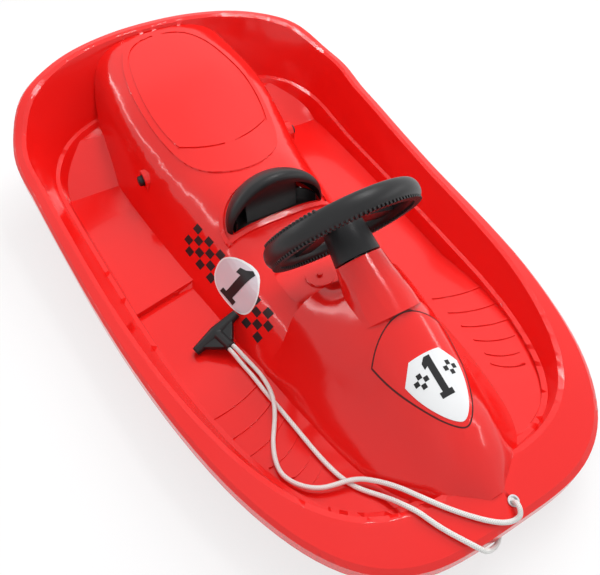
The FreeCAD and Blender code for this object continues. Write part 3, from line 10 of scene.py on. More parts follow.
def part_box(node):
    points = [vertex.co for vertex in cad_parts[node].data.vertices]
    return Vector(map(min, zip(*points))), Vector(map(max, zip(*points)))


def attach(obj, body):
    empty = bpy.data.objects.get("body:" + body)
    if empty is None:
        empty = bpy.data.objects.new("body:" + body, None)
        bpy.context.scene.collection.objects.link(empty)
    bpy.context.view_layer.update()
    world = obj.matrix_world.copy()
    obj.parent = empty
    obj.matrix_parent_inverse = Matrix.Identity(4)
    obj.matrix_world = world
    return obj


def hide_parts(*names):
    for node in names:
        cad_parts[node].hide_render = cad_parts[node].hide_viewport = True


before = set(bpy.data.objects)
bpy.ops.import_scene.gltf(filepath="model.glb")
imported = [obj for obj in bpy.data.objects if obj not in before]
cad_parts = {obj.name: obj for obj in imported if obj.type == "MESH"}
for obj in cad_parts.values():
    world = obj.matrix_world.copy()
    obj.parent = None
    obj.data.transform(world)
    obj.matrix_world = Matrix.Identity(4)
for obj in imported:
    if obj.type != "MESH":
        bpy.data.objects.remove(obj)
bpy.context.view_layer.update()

# Studio: a plain pale paper floor that the eye sees as white, soft lamps above and beside the sled, and the
# camera at the photograph's place, in front of the sled and to its right.
MM = 0.001
CAMERA_PLACE = Vector((567.9, -310.3, 699.0)) * MM
CAMERA_LOOK = Vector((-0.57147, 0.33797, -0.74780))
LENS_MM = 37.32
SENSOR_MM = 36

eye = bpy.data.cameras.new("photo_camera")
eye.lens = LENS_MM
eye.sensor_width = SENSOR_MM
eye.clip_start = 10 * MM
camera = bpy.data.objects.new("photo_camera", eye)
camera.location = CAMERA_PLACE
camera.rotation_euler = CAMERA_LOOK.to_track_quat("-Z", "Y").to_euler()
bpy.context.collection.objects.link(camera)
bpy.context.scene.camera = camera
bpy.context.scene.view_settings.view_transform = "Standard"


def new_material(name):
    material = bpy.data.materials.new(name)
    material.use_nodes = True
    return material, material.node_tree.nodes, material.node_tree.links


def seen_directly(nodes, links):
    """One where the eye or a mirrored or see-through ray meets the backdrop, and zero for its light."""
    path = nodes.new("ShaderNodeLightPath")
    total = path.outputs["Is Camera Ray"]
    for way in ("Is Glossy Ray", "Is Transmission Ray"):
        either = nodes.new("ShaderNodeMath")
        either.operation = "MAXIMUM"
        links.new(total, either.inputs[0])
        links.new(path.outputs[way], either.inputs[1])
        total = either.outputs[0]
    return total


FLOOR_SIZE = 12
FLOOR_DROP = 0.5 * MM
PAPER_COLOUR = (0.9, 0.9, 0.91, 1)
PAPER_ROUGHNESS = 0.9
PAPER_GLOW = 0.72
sheet = bmesh.new()
bmesh.ops.create_grid(sheet, x_segments=1, y_segments=1, size=FLOOR_SIZE)
floor_data = bpy.data.meshes.new("studio_floor")
sheet.to_mesh(floor_data)
sheet.free()
floor = bpy.data.objects.new("studio_floor", floor_data)
floor.location.z = -FLOOR_DROP
bpy.context.collection.objects.link(floor)
paper, nodes, links = new_material("studio_paper")
shade = nodes["Principled BSDF"]
shade.inputs["Base Color"].default_value = PAPER_COLOUR
shade.inputs["Roughness"].default_value = PAPER_ROUGHNESS
glow = nodes.new("ShaderNodeEmission")
veil = nodes.new("ShaderNodeMath")
veil.operation = "MULTIPLY"
veil.inputs[1].default_value = PAPER_GLOW
links.new(seen_directly(nodes, links), veil.inputs[0])
either = nodes.new("ShaderNodeMixShader")
links.new(veil.outputs[0], either.inputs["Fac"])
links.new(shade.outputs[0], either.inputs[1])
links.new(glow.outputs[0], either.inputs[2])
links.new(either.outputs[0], nodes["Material Output"].inputs["Surface"])
floor_data.materials.append(paper)

LIGHT_LEVEL = 0.42
world = bpy.data.worlds.new("studio_light")
world.use_nodes = True
bpy.context.scene.world = world
sky = world.node_tree.nodes["Background"]
sky.inputs["Color"].default_value = (1, 1, 1, 1)
level = world.node_tree.nodes.new("ShaderNodeMapRange")
level.inputs["To Min"].default_value = LIGHT_LEVEL
level.inputs["To Max"].default_value = 1
backdrop = seen_directly(world.node_tree.nodes, world.node_tree.links)
world.node_tree.links.new(backdrop, level.inputs["Value"])
world.node_tree.links.new(level.outputs["Result"], sky.inputs["Strength"])


def soft_box(name, place, aim, width, depth, watts, mirrored):
    lamp = bpy.data.lights.new(name, "AREA")
    lamp.shape = "RECTANGLE"
    lamp.size = width
    lamp.size_y = depth
    lamp.energy = watts
    box = bpy.data.objects.new(name, lamp)
    box.location = place
    box.rotation_euler = (Vector(aim) - Vector(place)).to_track_quat("-Z", "Y").to_euler()
    box.visible_glossy = mirrored
    bpy.context.collection.objects.link(box)


soft_box("key_box", place=(-0.9, 1.2, 1.7), aim=(0, 0, 0.1), width=1.3, depth=1.0, watts=25,
         mirrored=False)
soft_box("fill_box", place=(1.5, -1.3, 1.4), aim=(0, 0, 0.1), width=1.2, depth=1.2, watts=8,
         mirrored=False)
soft_box("top_box", place=(-0.2, 0.15, 1.9), aim=(0, 0, 0), width=1.4, depth=1.2, watts=8,
         mirrored=False)
soft_box("left_tube", place=(0.0, 0.8, 2.1), aim=(0, 0, 0), width=1.0, depth=0.05, watts=6,
         mirrored=True)
soft_box("right_tube", place=(0.0, 0.6, 2.1), aim=(0, 0, 0), width=1.0, depth=0.05, watts=6,
         mirrored=True)
soft_box("front_strip", place=(0.9, 1.6, 0.9), aim=(0, 0, 0.1), width=1.6, depth=0.1, watts=4,
         mirrored=True)
soft_box("rear_strip", place=(-1.3, -1.4, 0.9), aim=(0, 0, 0.1), width=1.6, depth=0.1, watts=4,
         mirrored=True)


# Hull: one blow-moulded shell of glossy red plastic. The rim, foot wells, seat hump and nose are all in
# this single piece. Its skin has the very fine grain of the mould and a slight drift in colour.
DRIFT_SCALE = 7
DRIFT_SHARE = 0.94
GLOSS_SPREAD = 0.15
GRAIN_HEIGHT = 0.4 * MM
MIRROR_LEVEL = 0.36
COAT_ROUGHNESS = 0.05


def plastic(name, colour, roughness, grain, bump, coat=0.0):
    """Moulded plastic with a slight drift in colour and the fine grain of its mould."""
    material, nodes, links = new_material(name)
    shader = nodes["Principled BSDF"]
    place = nodes.new("ShaderNodeTexCoord")
    drift = nodes.new("ShaderNodeTexNoise")
    drift.inputs["Scale"].default_value = DRIFT_SCALE
    drift.inputs["Detail"].default_value = 2
    links.new(place.outputs["Object"], drift.inputs["Vector"])
    tint = nodes.new("ShaderNodeMixRGB")
    tint.inputs["Color1"].default_value = (*[channel * DRIFT_SHARE for channel in colour], 1)
    tint.inputs["Color2"].default_value = (*colour, 1)
    links.new(drift.outputs["Fac"], tint.inputs["Fac"])
    links.new(tint.outputs["Color"], shader.inputs["Base Color"])
    peel = nodes.new("ShaderNodeTexNoise")
    peel.inputs["Scale"].default_value = grain
    peel.inputs["Detail"].default_value = 3
    links.new(place.outputs["Object"], peel.inputs["Vector"])
    gloss = nodes.new("ShaderNodeMapRange")
    gloss.inputs["To Min"].default_value = roughness * (1 - GLOSS_SPREAD)
    gloss.inputs["To Max"].default_value = roughness * (1 + GLOSS_SPREAD)
    links.new(peel.outputs["Fac"], gloss.inputs["Value"])
    links.new(gloss.outputs["Result"], shader.inputs["Roughness"])
    relief = nodes.new("ShaderNodeBump")
    relief.inputs["Strength"].default_value = bump
    relief.inputs["Distance"].default_value = GRAIN_HEIGHT
    links.new(peel.outputs["Fac"], relief.inputs["Height"])
    links.new(relief.outputs["Normal"], shader.inputs["Normal"])
    shader.inputs["Specular IOR Level"].default_value = MIRROR_LEVEL
    shader.inputs["Coat Weight"].default_value = coat
    shader.inputs["Coat Roughness"].default_value = COAT_ROUGHNESS
    return material


CREASE = math.radians(24)
MERGE = 0.01 * MM


def place_piece(name, work, body, material):
    """Smooth-shaded object from a bmesh, on its body, with the creases kept."""
    mesh = bpy.data.meshes.new(name)
    work.to_mesh(mesh)
    work.free()
    mesh.materials.clear()
    mesh.materials.append(material)
    for face in mesh.polygons:
        face.use_smooth = True
        face.material_index = 0
    mesh.set_sharp_from_angle(angle=CREASE)
    piece = bpy.data.objects.new(name, mesh)
    bpy.context.collection.objects.link(piece)
    even = piece.modifiers.new("even_shading", "WEIGHTED_NORMAL")
    even.mode = "FACE_AREA"
    even.weight = 100
    even.keep_sharp = True
    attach(piece, body)
    return piece


def dressed(node, body, material):
    """Stand-in for a CAD node, with its loose triangles joined."""
    work = bmesh.new()
    work.from_mesh(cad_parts[node].data)
    bmesh.ops.remove_doubles(work, verts=work.verts[:], dist=MERGE)
    piece = place_piece(node + "_skin", work, body, material)
    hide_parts(node)
    return piece


RED = (0.8, 0.011, 0.009)
red_plastic = plastic("gloss_red_moulding", RED, roughness=0.15, grain=900, bump=0.015, coat=0.15)
GRID = 12 * MM
SOFT_ANGLE = math.radians(14)
EVENING_ROUNDS = 40


def cut_in_cells(work, pitch):
    """Cuts a mesh along planes at a pitch, so that long triangles get corners between their ends."""
    for axis in range(3):
        low = min(vert.co[axis] for vert in work.verts)
        high = max(vert.co[axis] for vert in work.verts)
        normal = Vector([float(axis == k) for k in range(3)])
        for step in range(1, int((high - low) / pitch) + 1):
            everything = work.verts[:] + work.edges[:] + work.faces[:]
            bmesh.ops.bisect_plane(work, geom=everything, dist=MERGE / 10, plane_no=normal,
                                   plane_co=normal * (low + step * pitch))


def even_out(mesh, calm):
    """Shading of a broad moulded face: each calm corner takes the mean direction of its calm neighbours."""
    count = len(mesh.vertices)
    ends = np.empty(2 * len(mesh.edges), dtype=np.int64)
    mesh.edges.foreach_get("vertices", ends)
    ends = ends.reshape(-1, 2)
    ends = ends[calm[ends].all(axis=1)]
    facing = np.empty(3 * count)
    mesh.vertex_normals.foreach_get("vector", facing)
    facing = facing.reshape(-1, 3)
    for _ in range(EVENING_ROUNDS):
        total = facing.copy()
        np.add.at(total, ends[:, 0], facing[ends[:, 1]])
        np.add.at(total, ends[:, 1], facing[ends[:, 0]])
        facing[calm] = total[calm] / np.linalg.norm(total[calm], axis=1, keepdims=True)
    corners = np.empty(3 * len(mesh.loops))
    mesh.corner_normals.foreach_get("vector", corners)
    corners = corners.reshape(-1, 3)
    spots = np.empty(len(mesh.loops), dtype=np.int64)
    mesh.loops.foreach_get("vertex_index", spots)
    corners[calm[spots]] = facing[spots[calm[spots]]]
    for face in mesh.polygons:
        loops = np.arange(face.loop_start, face.loop_start + face.loop_total)
        quiet = calm[spots[loops]]
        if quiet.any() and not quiet.all():
            mean = facing[spots[loops[quiet]]].sum(axis=0)
            corners[loops[~quiet]] = mean / np.linalg.norm(mean)
    mesh.normals_split_custom_set(corners.tolist())


shell = bmesh.new()
shell.from_mesh(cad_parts["hull"].data)
bmesh.ops.remove_doubles(shell, verts=shell.verts[:], dist=MERGE)
cut_in_cells(shell, GRID)
bmesh.ops.triangulate(shell, faces=shell.faces[:])
calm = np.array([all(edge.calc_face_angle(math.pi) < SOFT_ANGLE for edge in vert.link_edges)
                 for vert in shell.verts])
hull = place_piece("hull_skin", shell, "hull", red_plastic)
hull.modifiers.clear()
even_out(hull.data, calm)
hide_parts("hull")

# Nose hatch: a thin shield-shaped panel of the same red plastic, let into a recess in the nose, with a
# narrow gap all round it.
dressed("nose_hatch", "hull", red_plastic)

# Hatch seam: the gap between the hatch and the nose. No light reaches its bottom, so it is drawn as a
# narrow dark strip along the hatch's upper edge.
SEAM_WIDTH = 1.5 * MM
SEAM_LIFT = 0.15 * MM
SEAM_TILT = 0.3


def skin_of(node):
    """Search tree of a CAD node's surface."""
    work = bmesh.new()
    work.from_mesh(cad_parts[node].data)
    tree = BVHTree.FromBMesh(work)
    work.free()
    return tree


hull_skin = skin_of("hull")
DOWN = Vector((0, 0, -1))
CEILING = 0.4
panel = bmesh.new()
panel.from_mesh(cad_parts["nose_hatch"].data)
bmesh.ops.remove_doubles(panel, verts=panel.verts[:], dist=MERGE)
panel.normal_update()
outward = {}
edges = []
for edge in panel.edges:
    if len(edge.link_faces) != 2:
        continue
    upright, sloped = sorted(edge.link_faces, key=lambda face: face.normal.z)
    if abs(upright.normal.z) < SEAM_TILT < sloped.normal.z:
        edges.append(edge)
        for vert in edge.verts:
            outward[vert] = outward.get(vert, Vector()) + upright.normal
seam = bmesh.new()
inner = {}
outer = {}
for vert, normal in outward.items():
    side = Vector((normal.x, normal.y, 0)).normalized()
    far = vert.co + side * SEAM_WIDTH
    spot = hull_skin.ray_cast(Vector((far.x, far.y, CEILING)), DOWN)[0]
    spot.z = min(max(spot.z, vert.co.z - SEAM_WIDTH), vert.co.z + SEAM_WIDTH)
    inner[vert] = seam.verts.new(vert.co + Vector((0, 0, SEAM_LIFT)))
    outer[vert] = seam.verts.new(spot + Vector((0, 0, SEAM_LIFT)))
for edge in edges:
    first, last = edge.verts
    seam.faces.new((inner[first], inner[last], outer[last], outer[first]))
bmesh.ops.recalc_face_normals(seam, faces=seam.faces[:])
if sum(face.normal.z for face in seam.faces) < 0:
    bmesh.ops.reverse_faces(seam, faces=seam.faces[:])
panel.free()
SEAM_RED = (0.06, 0.002, 0.002)
shadow = plastic("dark_seam", SEAM_RED, roughness=0.6, grain=900, bump=0.02)
place_piece("hatch_seam", seam, "hull", shadow)

# Labels: thin white film on the hatch and on the right side of the hump, with a plain number one and black
# checks printed on the film and on the hull beside it. The film follows the moulding's curve.
FILM_WHITE = (0.82, 0.83, 0.84)
FILM_SHADE_GREY = (0.66, 0.6, 0.65)
INK_BLACK = (0.004, 0.004, 0.005)
film = plastic("white_film", FILM_WHITE, roughness=0.3, grain=600, bump=0.02)
# The side film's grey field is painted shade: the white film as it looks in shade.
shaded_film = plastic("film_painted_shade", FILM_SHADE_GREY, roughness=0.3, grain=600, bump=0.02)
ink = plastic("black_ink", INK_BLACK, roughness=0.45, grain=700, bump=0.03)
dressed("hatch_label", "hull", film)
INK_CELL = 2.5 * MM
FILM_LIFT = 0.4 * MM
INK_STEP = 0.2 * MM


def flat_faces(outlines, grow=0.0):
    """Flat faces from outlines in millimetres, made larger all round by a margin."""
    work = bmesh.new()
    for outline in outlines:
        work.faces.new([work.verts.new((p * MM, q * MM, 0)) for p, q in outline])
    bmesh.ops.recalc_face_normals(work, faces=work.faces[:])
    if grow:
        bmesh.ops.inset_region(work, faces=work.faces[:], thickness=grow, use_outset=True,
                               use_boundary=True, use_even_offset=True)
    return work


def laid_on(name, work, tree, start, along, lift, material):
    """Flat faces cut into small cells and dropped on a surface, as a transfer is."""
    for axis in (0, 1):
        low = min(vert.co[axis] for vert in work.verts)
        high = max(vert.co[axis] for vert in work.verts)
        normal = Vector((1 - axis, axis, 0))
        for step in range(1, int((high - low) / INK_CELL) + 1):
            everything = work.verts[:] + work.edges[:] + work.faces[:]
            bmesh.ops.bisect_plane(work, geom=everything, dist=MERGE / 10, plane_no=normal,
                                   plane_co=normal * (low + step * INK_CELL))
    for vert in work.verts:
        spot, normal = tree.ray_cast(start(vert.co.x, vert.co.y), along)[:2]
        vert.co = spot + normal * lift
    work.normal_update()
    if sum(face.normal.dot(along) for face in work.faces) > 0:
        bmesh.ops.reverse_faces(work, faces=work.faces[:])
    return place_piece(name, work, "hull", material)


CHECK_HALF = 0.48


def check(centre, along, across, column, row):
    """One square of a check pattern, by its column and row from the pattern's first square."""
    middle = [centre[k] + column * along[k] + row * across[k] for k in (0, 1)]
    return [(middle[0] + p * along[0] + q * across[0], middle[1] + p * along[1] + q * across[1])
            for p, q in ((-CHECK_HALF, -CHECK_HALF), (CHECK_HALF, -CHECK_HALF),
                         (CHECK_HALF, CHECK_HALF), (-CHECK_HALF, CHECK_HALF))]


HATCH_ONE = [(349, -8.2), (349, 8.2), (342.8, 8.2), (342.8, 4.25), (305, 4.25), (305, -3.2), (310, -8.7),
             (316.5, -8.7), (314.5, -4.25), (342.8, -4.25), (342.8, -8.2)]
HATCH_CENTRES = ((324, -18), (324, 20))
HATCH_ALONG = (5.2, 0)
HATCH_ACROSS = (0, 5.7)
HATCH_SPOTS = ((1, 0), (-1, 0), (0, 1), (0, -1))
hatch_checks = [check(centre, HATCH_ALONG, HATCH_ACROSS, column, row)
                for centre in HATCH_CENTRES for column, row in HATCH_SPOTS]
laid_on("hatch_print", flat_faces([HATCH_ONE] + hatch_checks), skin_of("hatch_label"),
        lambda x, y: Vector((x, y, CEILING)), DOWN, INK_STEP, ink)

INWARD = Vector((0, 1, 0))
WELL_SIDE = -132 * MM


def beside(x, z):
    """Place in the right foot well, level with a spot on the side of the hump."""
    return Vector((x, WELL_SIDE, z))


REAR_FIRST = (-72, 86)
REAR_ALONG = (14.6, -1.4)
REAR_UP = (3.6, 10.3)
REAR_SPOTS = [(0, 0), (2, 0), (4, 0), (1, -1), (3, -1), (0, -2), (2, -2), (4, -2), (1, -3), (3, -3), (5, -3)]
FRONT_FIRST = (92, 66)
FRONT_ALONG = (15, 1)
FRONT_UP = (2.6, 10)
FRONT_SPOTS = [(-1, 1), (1, 1), (0, 0), (2, 0), (1, -1), (0, -2), (2, -2)]
side_checks = [check(REAR_FIRST, REAR_ALONG, REAR_UP, column, row) for column, row in REAR_SPOTS]
side_checks += [check(FRONT_FIRST, FRONT_ALONG, FRONT_UP, column, row) for column, row in FRONT_SPOTS]
laid_on("side_checks", flat_faces(side_checks), hull_skin, beside, INWARD, INK_STEP, ink)
# The side film's outline and its number, in millimetres forward and up.
FILM_MIDDLE = (37, 67)
FILM_REACH = (47.5, 25.5)
FILM_POINTS = 20
FILM_BLUNTNESS = 0.8
ROUNDEL = []
for number in range(FILM_POINTS):
    angle = 2 * math.pi * number / FILM_POINTS
    out = FILM_REACH[0] * math.copysign(abs(math.cos(angle)) ** FILM_BLUNTNESS, math.cos(angle))
    up = FILM_REACH[1] * math.copysign(abs(math.sin(angle)) ** FILM_BLUNTNESS, math.sin(angle))
    ROUNDEL.append((FILM_MIDDLE[0] + out, FILM_MIDDLE[1] + up))
ONE_SLANT = 0.3
ONE_FOOT = 45.5
UPRIGHT_ONE = [(17, 0), (50, 0), (50, 6.3), (41, 6.3), (41, 44), (33, 45), (26, 42.5), (15.5, 40.5),
               (16, 34), (25, 35), (25, 6.3), (17, 6.3)]
SIDE_ONE = [(x + ONE_SLANT * z, ONE_FOOT + z) for x, z in UPRIGHT_ONE]
outline = bpy.data.curves.new("roundel_outline", "CURVE")
outline.dimensions = "2D"
outline.fill_mode = "BOTH"
bend = outline.splines.new("NURBS")
bend.points.add(len(ROUNDEL) - 1)
for spot, (x, z) in zip(bend.points, ROUNDEL):
    spot.co = (x * MM, z * MM, 0, 1)
bend.use_cyclic_u = True
bend.order_u = 3
outline_line = bpy.data.objects.new("roundel_outline", outline)
roundel = bpy.data.meshes.new_from_object(outline_line)
bpy.data.objects.remove(outline_line)


def roundel_face(inset):
    """The side film's flat face, drawn in from its edge by a margin."""
    work = bmesh.new()
    work.from_mesh(roundel)
    bmesh.ops.remove_doubles(work, verts=work.verts[:], dist=MERGE)
    middle = sum((vert.co for vert in work.verts), Vector()) / len(work.verts)
    bmesh.ops.translate(work, verts=work.verts[:], vec=-middle)
    reach = max(vert.co.length for vert in work.verts)
    bmesh.ops.scale(work, verts=work.verts[:], vec=[1 - inset / reach] * 3)
    bmesh.ops.translate(work, verts=work.verts[:], vec=middle)
    return work


FIELD_MARGIN = 2.6 * MM
ONE_EDGE = 1.3 * MM
side_film = laid_on("side_label_skin", roundel_face(0), hull_skin, beside, INWARD, FILM_LIFT, film)
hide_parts("side_label")
# Painted shade: the film's face inside its white margin, drawn lilac grey as white film in shade.
laid_on("side_film_painted_shade", roundel_face(FIELD_MARGIN), hull_skin, beside, INWARD, FILM_LIFT + INK_STEP, shaded_film)
laid_on("side_one_edge", flat_faces([SIDE_ONE], ONE_EDGE), hull_skin, beside, INWARD,
        FILM_LIFT + 2 * INK_STEP, film)
laid_on("side_one", flat_faces([SIDE_ONE]), hull_skin, beside, INWARD, FILM_LIFT + 3 * INK_STEP, ink)


# Small pieces in the hull: the screw in the dash, which has the hull's own red, and the eyelet that the
# cord runs through. The eyelet is zinc plated steel with faint brushed lines, as are the hidden steel parts.
BRUSH_STRETCH = (40, 900, 900)
STEEL_DARK = (0.5, 0.51, 0.53, 1)
STEEL_BRIGHT = (0.68, 0.69, 0.71, 1)
STEEL_SMOOTH = 0.25
STEEL_DULL = 0.45


def brushed_steel(name):
    material, nodes, links = new_material(name)
    shader = nodes["Principled BSDF"]
    shader.inputs["Metallic"].default_value = 1
    place = nodes.new("ShaderNodeTexCoord")
    stretch = nodes.new("ShaderNodeMapping")
    stretch.inputs["Scale"].default_value = BRUSH_STRETCH
    links.new(place.outputs["Object"], stretch.inputs["Vector"])
    brush = nodes.new("ShaderNodeTexNoise")
    brush.inputs["Scale"].default_value = 1
    brush.inputs["Detail"].default_value = 4
    links.new(stretch.outputs["Vector"], brush.inputs["Vector"])
    tone = nodes.new("ShaderNodeMixRGB")
    tone.inputs["Color1"].default_value = STEEL_DARK
    tone.inputs["Color2"].default_value = STEEL_BRIGHT
    links.new(brush.outputs["Fac"], tone.inputs["Fac"])
    links.new(tone.outputs["Color"], shader.inputs["Base Color"])
    gloss = nodes.new("ShaderNodeMapRange")
    gloss.inputs["To Min"].default_value = STEEL_SMOOTH
    gloss.inputs["To Max"].default_value = STEEL_DULL
    links.new(brush.outputs["Fac"], gloss.inputs["Value"])
    links.new(gloss.outputs["Result"], shader.inputs["Roughness"])
    return material


steel = brushed_steel("zinc_steel")
dressed("dash_screw", "hull", red_plastic)
dressed("cord_eyelet", "hull", steel)

# Steering column: two black bushes pressed into the hull's boss, the steel shaft that turns in them, and
# the black sleeve between the boss and the wheel.
BLACK = (0.011, 0.011, 0.012)
black_plastic = plastic("satin_black_moulding", BLACK, roughness=0.38, grain=1400, bump=0.1)
dressed("column_bush_upper", "hull", black_plastic)
dressed("column_bush_lower", "hull", black_plastic)
dressed("steering_shaft", "steering", steel)
dressed("column_sleeve", "steering", black_plastic)

# Steering wheel: one black moulding with an oval rim, three spokes and a hub, held on the shaft by a bolt.
# Fine moulded grips run round the front of the rim, and along its rear where the hands hold it. It is drawn
# slimmer than its solid, which is larger than the photograph's wheel.
WHEEL_PLACE = Vector((175, 0, 188)) * MM
WHEEL_LEAN = math.radians(-58)
WHEEL_TURN = math.radians(20)
WHEEL_FRAME = (Matrix.Translation(WHEEL_PLACE) @ Matrix.Rotation(WHEEL_LEAN, 4, "Y")
               @ Matrix.Rotation(WHEEL_TURN, 4, "Z"))
HUB_REACH = 24 * MM
RIM_REACH = 80 * MM
RIM_PLANE = 43.8 * MM
RIM_RADIUS = 89.6 * MM
RIM_DEPTH = 12.3 * MM
SPOKE_SHARE = 0.8315
DEPTH_SHARE = 0.82
wheel = bmesh.new()
wheel.from_mesh(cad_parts["steering_wheel"].data)
bmesh.ops.remove_doubles(wheel, verts=wheel.verts[:], dist=MERGE)
bmesh.ops.transform(wheel, matrix=WHEEL_FRAME.inverted(), verts=wheel.verts[:])
for vert in wheel.verts:
    reach = vert.co.xy.length
    if reach > HUB_REACH:
        slim = HUB_REACH + (reach - HUB_REACH) * SPOKE_SHARE
        vert.co.xy *= slim / reach
        out = min((reach - HUB_REACH) / (RIM_REACH - HUB_REACH), 1)
        vert.co.z = RIM_PLANE + (vert.co.z - RIM_PLANE) * (1 + (DEPTH_SHARE - 1) * out)
bmesh.ops.transform(wheel, matrix=WHEEL_FRAME, verts=wheel.verts[:])
slim_wheel = place_piece("steering_wheel_skin", wheel, "steering", black_plastic)
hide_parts("steering_wheel")
dressed("wheel_bolt", "steering", steel)
GRIP_COUNT = 112
GRIP_SIZE = Vector((9.5, 2.9, 5.4)) * MM
GRIP_SINK = 1.1 * MM
GRIP_EDGE = 0.7 * MM
HAND_SHARES = ((0.16, 0.3), (0.68, 0.84))
grips = bmesh.new()
for number in range(GRIP_COUNT):
    share = number / GRIP_COUNT
    held = any(low < share < high for low, high in HAND_SHARES)
    for face in (-1, 1) if held else (-1,):
        turn = Matrix.Rotation(2 * math.pi * share, 4, "Z")
        spot = Matrix.Translation((RIM_RADIUS, 0, RIM_PLANE + face * (RIM_DEPTH - GRIP_SINK)))
        bar = WHEEL_FRAME @ turn @ spot @ Matrix.Diagonal((*GRIP_SIZE, 1))
        bmesh.ops.create_cube(grips, size=1, matrix=bar)
bmesh.ops.bevel(grips, geom=grips.edges[:], offset=GRIP_EDGE, offset_type="OFFSET", segments=2, profile=0.5,
                affect="EDGES", material=-1)
place_piece("wheel_grips", grips, "steering", black_plastic)

# Pitman arm and drive pin: a flat steel arm fixed on the shaft's lower end under the nose, with a steel pin
# through its far end. The pin points down into a fork on the track rod and pushes the rod sideways.
dressed("pitman_arm", "steering", steel)
dressed("drive_pin", "steering", steel)

# Front skis: two black mouldings that swivel on steel kingpins under the hull, with a thrust washer on
# each kingpin, and a steel pin with a clip through each arm. The flat steel track rod joins the arms.
for side in ("left", "right"):
    dressed("ski_" + side, "ski_" + side, black_plastic)
    dressed("kingpin_" + side, "hull", steel)
    dressed("kingpin_washer_" + side, "hull", steel)
    dressed("ski_pin_" + side, "ski_" + side, steel)
    dressed("ski_clip_" + side, "ski_" + side, steel)
dressed("track_rod", "track", steel)

# Brake: a black lever with its domed pull handle on a steel axle, held in two black bushes in the sides of
# the hump, and a toothed steel claw screwed to the lever's rear end. Black caps close the axle's ends.
CAP_PLACE = Vector((-213, 133, 89)) * MM
CAP_RADIUS = 8 * MM
CAP_DEPTH = 11 * MM
CAP_EDGE = 3 * MM
for side, sign in (("left", 1), ("right", -1)):
    dressed("axle_bush_" + side, "hull", black_plastic)
    cap = bmesh.new()
    bmesh.ops.create_cone(cap, cap_ends=True, segments=40, radius1=CAP_RADIUS, radius2=CAP_RADIUS,
                          depth=CAP_DEPTH)
    rims = [edge for edge in cap.edges if edge.calc_face_angle() > CREASE]
    bmesh.ops.bevel(cap, geom=rims, offset=CAP_EDGE, offset_type="OFFSET", segments=3, profile=0.5,
                    affect="EDGES", material=-1)
    bmesh.ops.rotate(cap, cent=(0, 0, 0), matrix=Matrix.Rotation(math.pi / 2, 3, "X"), verts=cap.verts[:])
    bmesh.ops.translate(cap, vec=CAP_PLACE * Vector((1, sign, 1)), verts=cap.verts[:])
    place_piece("axle_cap_" + side, cap, "hull", black_plastic)
dressed("brake_axle", "hull", steel)
dressed("brake_lever", "brake", black_plastic)
# A black cup inside the handle, in the lever's own black, that also stands as painted shade in its mouth.
CUP_FRONT = Vector((-19, 0, 104)) * MM
CUP_HALF = Vector((40, 64, 34)) * MM
CUP_RIM = 15 * MM
CUP_WALL = 1.5 * MM
cup = bmesh.new()
bmesh.ops.create_uvsphere(cup, u_segments=72, v_segments=36, radius=1)
for normal in ((1, 0, 0), (0, 0, 1)):
    everything = cup.verts[:] + cup.edges[:] + cup.faces[:]
    bmesh.ops.bisect_plane(cup, geom=everything, dist=MERGE, plane_co=(0, 0, 0), plane_no=normal,
                           clear_outer=True)
bmesh.ops.scale(cup, vec=CUP_HALF, verts=cup.verts[:])
brim = [edge for edge in cup.edges
        if edge.is_boundary and all(abs(vert.co.z) < MERGE for vert in edge.verts)]
lifted = bmesh.ops.extrude_edge_only(cup, edges=brim)["geom"]
rim_verts = [item for item in lifted if isinstance(item, bmesh.types.BMVert)]
bmesh.ops.translate(cup, vec=(0, 0, CUP_RIM), verts=rim_verts)
bmesh.ops.recalc_face_normals(cup, faces=cup.faces[:])
bmesh.ops.solidify(cup, geom=cup.faces[:], thickness=CUP_WALL)
bmesh.ops.translate(cup, vec=CUP_FRONT, verts=cup.verts[:])
bmesh.ops.recalc_face_normals(cup, faces=cup.faces[:])
place_piece("brake_cup", cup, "brake", black_plastic)
# A dark plate in the hump, under the handle's opening: painted shade for the hollow hull below it.
SHADE_PLATE_PLACE = Vector((-66, 0, 59)) * MM
SHADE_PLATE_SIZE = Vector((116, 176, 2)) * MM
shade_plate = bmesh.new()
shade_plate_frame = Matrix.Translation(SHADE_PLATE_PLACE) @ Matrix.Diagonal((*SHADE_PLATE_SIZE, 1))
bmesh.ops.create_cube(shade_plate, size=1, matrix=shade_plate_frame)
place_piece("painted_shade_plate", shade_plate, "hull", black_plastic)
dressed("brake_claw", "brake", steel)
dressed("claw_screws", "brake", steel)

# Tow handle: a black moulded T bar that lies in the right foot well, with one end on its floor. A flat web
# stiffens the corners between the bar and its stem, in which the cord's ends are held.
dressed("tow_handle", "hull", black_plastic)
BAR_HALF = 37 * MM
BAR_END = 6 * MM
BAR_TURN = math.radians(-78)
BAR_LEAN = math.radians(16.5)
WEB_OUTLINE = [(-31, 0), (31, 0), (8, 27), (-8, 27)]
WEB_DEPTH = 9 * MM
WEB_EDGE = 1.5 * MM
bar_rise = BAR_HALF * math.sin(BAR_LEAN) + BAR_END * math.cos(BAR_LEAN)
BAR_X = 73.7 * MM
BAR_Y = -148.5 * MM
bar_place = Vector((BAR_X, BAR_Y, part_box("tow_handle")[0][2] + bar_rise))
web = bmesh.new()
web.faces.new([web.verts.new((x * MM, y * MM, -WEB_DEPTH / 2)) for x, y in WEB_OUTLINE])
raised = bmesh.ops.extrude_face_region(web, geom=web.faces[:])["geom"]
raised_verts = [item for item in raised if isinstance(item, bmesh.types.BMVert)]
bmesh.ops.translate(web, vec=(0, 0, WEB_DEPTH), verts=raised_verts)
bmesh.ops.recalc_face_normals(web, faces=web.faces[:])
bmesh.ops.bevel(web, geom=web.edges[:], offset=WEB_EDGE, offset_type="OFFSET", segments=2, profile=0.5,
                affect="EDGES", material=-1)
